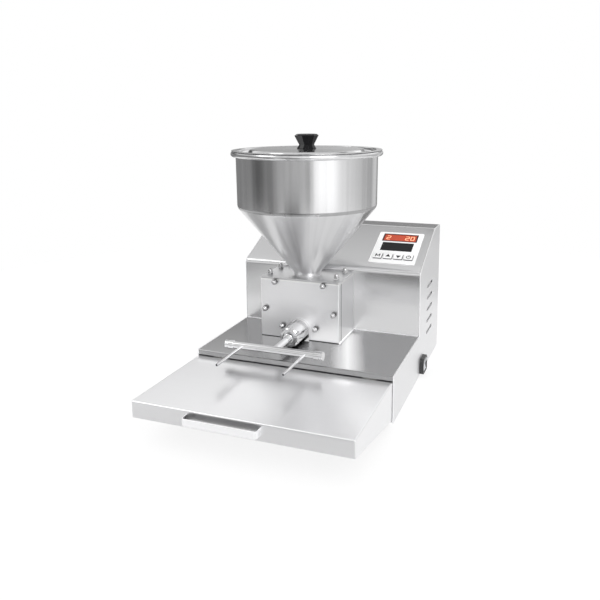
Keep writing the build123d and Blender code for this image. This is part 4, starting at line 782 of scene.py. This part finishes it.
# Display figures
# Lit seven-segment figures behind the red window: the set amount on the left and the pause on the right.
# They are bars of light in the display modules, seen through the tinted window.
figure_half_width, figure_half_height, bar_width, bar_sheet, z_figure = 3.4, 6.2, 1.7, 0.12, 1.3
figure_glow = moulded("figure_glow", (0.95, 0.5, 0.3), 0.4)
glow = figure_glow.node_tree.nodes["Principled BSDF"]
glow.inputs["Emission Color"].default_value = (1.0, 0.42, 0.2, 1.0)
glow.inputs["Emission Strength"].default_value = 0.5
bars = {
    "top": (0, 1, True), "middle": (0, 0, True), "foot": (0, -1, True), "upper_left": (-1, 0.5, False),
    "upper_right": (1, 0.5, False), "lower_left": (-1, -0.5, False), "lower_right": (1, -0.5, False),
}
two = ("top", "upper_right", "middle", "lower_left", "foot")
nought = ("top", "upper_right", "lower_right", "foot", "lower_left", "upper_left")
bm = bmesh.new()
for shift, figure in ((-25.0, two), (15.0, two), (26.0, nought)):
    for x, y, lying in (bars[bar] for bar in figure):
        size = (2 * figure_half_width, bar_width) if lying else (bar_width, figure_half_height)
        middle = (upper[0] + shift + x * figure_half_width, upper[1] + y * figure_half_height, z_figure)
        add_block(bm, (*size, bar_sheet), middle)
bmesh.ops.transform(bm, matrix=on_slope, verts=bm.verts)
figures = add_piece("lit_figures", bm, [figure_glow], "cabinet")
figures.visible_glossy = False

# Keys
# Four square moulded caps in the frame, each over a push switch on the board.
# White tops with a printed mark each: mode, up, down and start. The sides of caps and skirts are painted near
# black as shade.
cap_size, cap_height, z_cap = 18.0, 7.6, -0.2
skirt_size, skirt_height, z_skirt = 20.2, 1.2, -0.9
z_mark, ink, arrow_radius = 3.6, 0.06, 6.0
ring_radius, ring_width, ring_bar, stem_rise, stem_height = 4.2, 1.7, 2.5, 3.0, 5.2
mode_bars = (
    (-4.0, 0.0, 2.0, 9.6, 0.0), (4.0, 0.0, 2.0, 9.6, 0.0),
    (-1.8, 0.8, 1.8, 7.4, 28.0), (1.8, 0.8, 1.8, 7.4, -28.0),
)
key_white = moulded("key_white", (0.93, 0.93, 0.93), 0.4, grain=900.0, relief=0.1)
key_side_shade = moulded("key_side_shade", (0.07, 0.07, 0.075), 0.5)
mark_ink = moulded("mark_ink", (0.035, 0.035, 0.037), 0.6, gloss=0.2)


def bar_mark(bm, x, y, width, height, lean=0.0):
    """One printed bar of a key mark."""
    add_block(bm, (width, height, ink), (x, y, z_mark), Matrix.Rotation(math.radians(lean), 4, "Z"))


def arrow_mark(bm, x, y, turn):
    """One printed triangle of a key mark."""
    bmesh.ops.create_cone(
        bm, cap_ends=True, segments=3, radius1=arrow_radius, radius2=arrow_radius, depth=ink,
        matrix=Matrix.Translation((x, y, z_mark)) @ Matrix.Rotation(math.radians(turn), 4, "Z"),
    )


for name, (x, y, *_) in zip(("mode", "up", "down", "start"), keys):
    bm = bmesh.new()
    add_block(bm, (cap_size, cap_size, cap_height), (x, y, z_cap))
    add_block(bm, (skirt_size, skirt_size, skirt_height), (x, y, z_skirt))
    round_corners(bm, corners_of(x, y, cap_size, cap_size), key_corner)
    bm.normal_update()
    for face in bm.faces:
        face.material_index = int(face.normal.z < 0.5)
    bmesh.ops.transform(bm, matrix=on_slope, verts=bm.verts)
    add_piece(
        name + "_cap", bm, [key_white, key_side_shade], name + "_key", ["key_" + name], edge=0.5
    )
    bm = bmesh.new()
    if name == "mode":
        for across, rise, width, height, lean in mode_bars:
            bar_mark(bm, x + across, y + rise, width, height, lean)
    elif name == "start":
        for turn in range(0, 360, 30):
            if turn != 90:
                way = Vector((math.cos(math.radians(turn)), math.sin(math.radians(turn))))
                bar_mark(bm, x + ring_radius * way.x, y + ring_radius * way.y, ring_width, ring_bar, turn)
        bar_mark(bm, x, y + stem_rise, ring_width, stem_height)
    else:
        arrow_mark(bm, x, y, 0 if name == "up" else 180)
    bmesh.ops.transform(bm, matrix=on_slope, verts=bm.verts)
    add_piece(name + "_mark", bm, [mark_ink], name + "_key")

# Mains switch
# A black snap-in rocker switch low in the right cheek, with a dished grey rocker.
# Its moulded body is pressed into the cheek's cut-out.
switch_black = moulded("switch_black", (0.03, 0.03, 0.032), 0.35)
rocker_grey = moulded("rocker_grey", (0.62, 0.63, 0.65), 0.35)
dress(switch_black, "switch_body")
dress(rocker_grey, "rocker")

# Studio
# A pale floor and an even white surround, with soft boxes and grey cards round the machine that only
# its metal mirrors. White sheets close over the deck and the hopper flange shine from one side.


def stand(name, bm, paint, mirrored_only):
    """Stands a mesh in the studio, in sight or only where metal mirrors it."""
    mesh = bpy.data.meshes.new(name)
    bm.to_mesh(mesh)
    bm.free()
    mesh.materials.append(paint)
    card = bpy.data.objects.new(name, mesh)
    for ray in ("camera", "diffuse", "shadow"):
        setattr(card, "visible_" + ray, not mirrored_only)
    bpy.context.scene.collection.objects.link(card)


def add_card(bm, size, middle, turn=Matrix()):
    """Adds a flat card, turned about its own middle."""
    place = Matrix.Translation(middle) @ turn @ Matrix.Diagonal((*size, 1, 1))
    bmesh.ops.create_grid(bm, x_segments=1, y_segments=1, size=0.5, matrix=place)


def matt(name, level):
    """Matt paper or board of one grey."""
    paint, tree, shader, _ = new_finish(name)
    shader.inputs["Base Color"].default_value = (level, level, level, 1.0)
    shader.inputs["Roughness"].default_value = 0.9
    return paint, tree, shader


white = (1.0, 1.0, 1.0, 1.0)
floor_radius, floor_glow, card_lift, endless = 1.4, 0.8, 0.002, 1000.0
floor_white, tree, paper = matt("floor_white", 0.94)
seen = add_node(tree, "LightPath").outputs
lit = add_node(tree, "Emission", {"Color": white, "Strength": 1.0}).outputs["Emission"]
shown = worked(tree, seen["Is Camera Ray"], "ADD", seen["Is Glossy Ray"])
share = worked(tree, shown, "MULTIPLY", floor_glow)
glowing = add_node(tree, "MixShader", {"Fac": share, 1: paper.outputs["BSDF"], 2: lit}).outputs["Shader"]
tree.links.new(glowing, tree.nodes["Material Output"].inputs["Surface"])
bm = bmesh.new()
bmesh.ops.create_circle(bm, cap_ends=True, segments=128, radius=floor_radius)
stand("floor", bm, floor_white, mirrored_only=False)
for name, level, middle, size in (
    ("near_card", 0.5, (-0.15, -0.54), (0.9, 0.2)),
    ("middle_card", 0.02, (0.07, -0.77), (0.5, 0.22)),
    ("far_card", 0.04, (-0.07, -1.21), (0.52, 0.7)),
    ("side_card", 0.2, (-0.64, -0.96), (0.36, 0.7)),
    ("rear_card", 0.5, (0.4, 0.92), (0.4, 0.64)),
    ("left_card", 0.36, (-0.5, 0.0), (0.28, 0.6)),
):
    bm = bmesh.new()
    add_card(bm, size, (*middle, card_lift))
    stand(name, bm, matt(name, level)[0], mirrored_only=True)
for name, level, tilt, fading, sheets in (
    ("deck_reflector", 0.88, 0.0, False, (
        ((0.1205, -0.1025, 0.0906), (0.135, 0.21), 0.0),
        ((0.0635, -0.1595, 0.0906), (0.055, 0.122), -18.0),
        ((0.02, -0.137, 0.0906), (0.07, 0.084), 0.0),
        ((0.022, -0.074, 0.2119), (0.05, 0.032), 0.0),
    )),
    ("side_glow", 2.0, 180.0, True, (((0.075, -0.105, 0.097), (0.066, 0.2), 17.6),)),
):
    paint = bpy.data.materials.new(name)
    paint.use_nodes = True
    tree = paint.node_tree
    tree.nodes.clear()
    shape = add_node(tree, "NewGeometry").outputs
    share = worked(tree, 1.0, "SUBTRACT", shape["Backfacing"])
    bm = bmesh.new()
    for middle, size, angle in sheets:
        turn = Matrix.Rotation(math.radians(angle), 4, "Z")
        add_card(bm, size, middle, turn @ Matrix.Rotation(math.radians(tilt), 4, "X"))
        if fading:
            across = add_node(
                tree,
                "Mapping",
                {
                    "Vector": shape["Position"], "Location": middle,
                    "Rotation": turn.to_euler(), "Scale": (size[0] / 2, endless, endless),
                },
                vector_type="TEXTURE",
            ).outputs["Vector"]
            fade = add_node(tree, "TexGradient", {"Vector": across}, gradient_type="SPHERICAL").outputs["Fac"]
            share = worked(tree, fade, "MULTIPLY", share)
    clear = add_node(tree, "BsdfTransparent").outputs["BSDF"]
    lit = add_node(tree, "Emission", {"Color": white, "Strength": level}).outputs["Emission"]
    shining = add_node(tree, "MixShader", {"Fac": share, 1: clear, 2: lit}).outputs["Shader"]
    tree.links.new(shining, add_node(tree, "OutputMaterial").inputs["Surface"])
    stand(name, bm, paint, mirrored_only=True)

world = bpy.data.worlds.new("studio")
bpy.context.scene.world = world
world.use_nodes = True
tree = world.node_tree
tree.nodes.clear()
way = add_node(tree, "TexCoord").outputs["Generated"]
round_about = add_node(tree, "TexGradient", {"Vector": way}, gradient_type="RADIAL").outputs["Fac"]


def surround_row(levels):
    """A row of soft boxes and cards round the machine: levels by the angle from the front to the right."""
    stops = sorted(((angle / 360.0 + 0.25) % 1.0, level) for angle, level in levels)
    row = add_node(tree, "ValToRGB", {"Fac": round_about})
    while len(row.color_ramp.elements) < len(stops):
        row.color_ramp.elements.new(0.5)
    for stop, (where, level) in zip(row.color_ramp.elements, stops):
        stop.position = where
        stop.color = (level, level, level, 1.0)
    return row.outputs["Color"]


height = add_node(tree, "SeparateXYZ", {"Vector": way}).outputs["Z"]
mirrored = surround_row([
    (-180, 0.3), (-158, 0.25), (-122, 0.25), (-112, 0.28), (-80, 0.28), (-70, 0.11), (-57, 0.11), (-48, 0.22),
    (-34, 0.25), (-22, 0.5), (10, 0.56), (20, 0.42), (27, 0.48), (36, 1.5), (66, 1.5), (76, 1.0), (100, 0.8),
    (130, 0.55), (148, 0.45), (156, 0.7), (168, 0.8), (176, 0.3),
])
eye_level = surround_row([
    (-180, 0.8), (-167, 0.62), (-150, 0.36), (-130, 0.36), (-100, 0.36), (-70, 0.3), (-30, 0.5), (8, 0.5),
    (24, 1.2), (32, 1.3), (70, 0.85), (90, 0.75), (150, 0.8), (168, 0.75),
])
shade = surround_row([
    (-180, 0.3), (-167, 0.22), (-150, 0.07), (-130, 0.12), (-100, 0.3), (-70, 0.3), (-40, 0.6), (-26, 1.05),
    (-18, 0.7), (-6, 0.3), (6, 1.2), (24, 1.4), (32, 1.3), (70, 0.85), (90, 0.75), (150, 0.8), (168, 0.5),
])
back_light = surround_row([
    (-180, 1.2), (-150, 1.2), (-125, 1.0), (-95, 0.6), (-70, 0.6), (-20, 0.9), (6, 1.3), (32, 1.3),
    (70, 1.1), (90, 1.0), (145, 1.2), (160, 1.25),
])
soft_box = surround_row([
    (-180, 0.7), (-130, 0.7), (-100, 0.7), (-80, 0.55), (45, 0.6), (70, 0.9), (150, 0.9),
])
ceiling = surround_row([
    (-180, 0.16), (-150, 0.2), (-138, 0.75), (-95, 0.7), (-70, 0.65), (45, 0.7), (75, 0.75), (120, 0.5),
    (160, 0.3),
])
overhead, daylight = (0.84, 0.84, 0.84, 1.0), (1.3, 1.3, 1.3, 1.0)
for low, high, row in (
    (-0.03, 0.03, eye_level), (0.1, 0.14, shade), (0.315, 0.355, back_light), (0.48, 0.60, soft_box),
    (0.66, 0.72, ceiling), (0.775, 0.845, overhead),
):
    share = ranged(tree, height, low, high, way="SMOOTHSTEP")
    mirrored = mix(tree, share, mirrored, row, "RGBA")
for angle, rise, spread_angle, level in ((48, 40, 20, 4.0), (-62, 46, 16, 3.0)):
    turn, lift, reach = math.radians(angle), math.radians(rise), math.radians(spread_angle)
    aim = (math.sin(turn) * math.cos(lift), -math.cos(turn) * math.cos(lift), math.sin(lift))
    near = add_node(tree, "VectorMath", {0: way, 1: aim}, operation="DOT_PRODUCT").outputs["Value"]
    lamp = ranged(tree, near, math.cos(reach), math.cos(reach / 2), high=level, way="SMOOTHSTEP")
    mirrored = mix(tree, 1.0, mirrored, lamp, "RGBA", "ADD")
path = add_node(tree, "LightPath").outputs
surroundings = mix(tree, path["Is Diffuse Ray"], mirrored, daylight, "RGBA")
backdrop = mix(tree, path["Is Camera Ray"], surroundings, white, "RGBA")
light = add_node(tree, "Background", {"Color": backdrop, "Strength": 1.0}).outputs["Background"]
tree.links.new(light, add_node(tree, "OutputWorld").inputs["Surface"])
bpy.context.scene.view_settings.view_transform = "Standard"

# Camera
# Stands in front and to the right, a little above the hopper's rim, with its view dropped to the tray.
# Its lens is an ordinary one, shifted a little downwards.
camera_place = (0.43506, -1.25452, 0.53517)
camera_turn, camera_dip, camera_roll = math.radians(21.59), math.radians(10.24), math.radians(-0.53)
lens = bpy.data.cameras.new("camera")
lens.lens, lens.shift_y = 39.86, -0.1167
lens.clip_start, lens.clip_end = 0.01, 50.0
camera = bpy.data.objects.new("camera", lens)
bpy.context.scene.collection.objects.link(camera)
camera.matrix_world = (
    Matrix.Translation(camera_place)
    @ Matrix.Rotation(camera_turn, 4, "Z")
    @ Matrix.Rotation(math.pi / 2 - camera_dip, 4, "X")
    @ Matrix.Rotation(camera_roll, 4, "Z")
)
bpy.context.scene.camera = camera
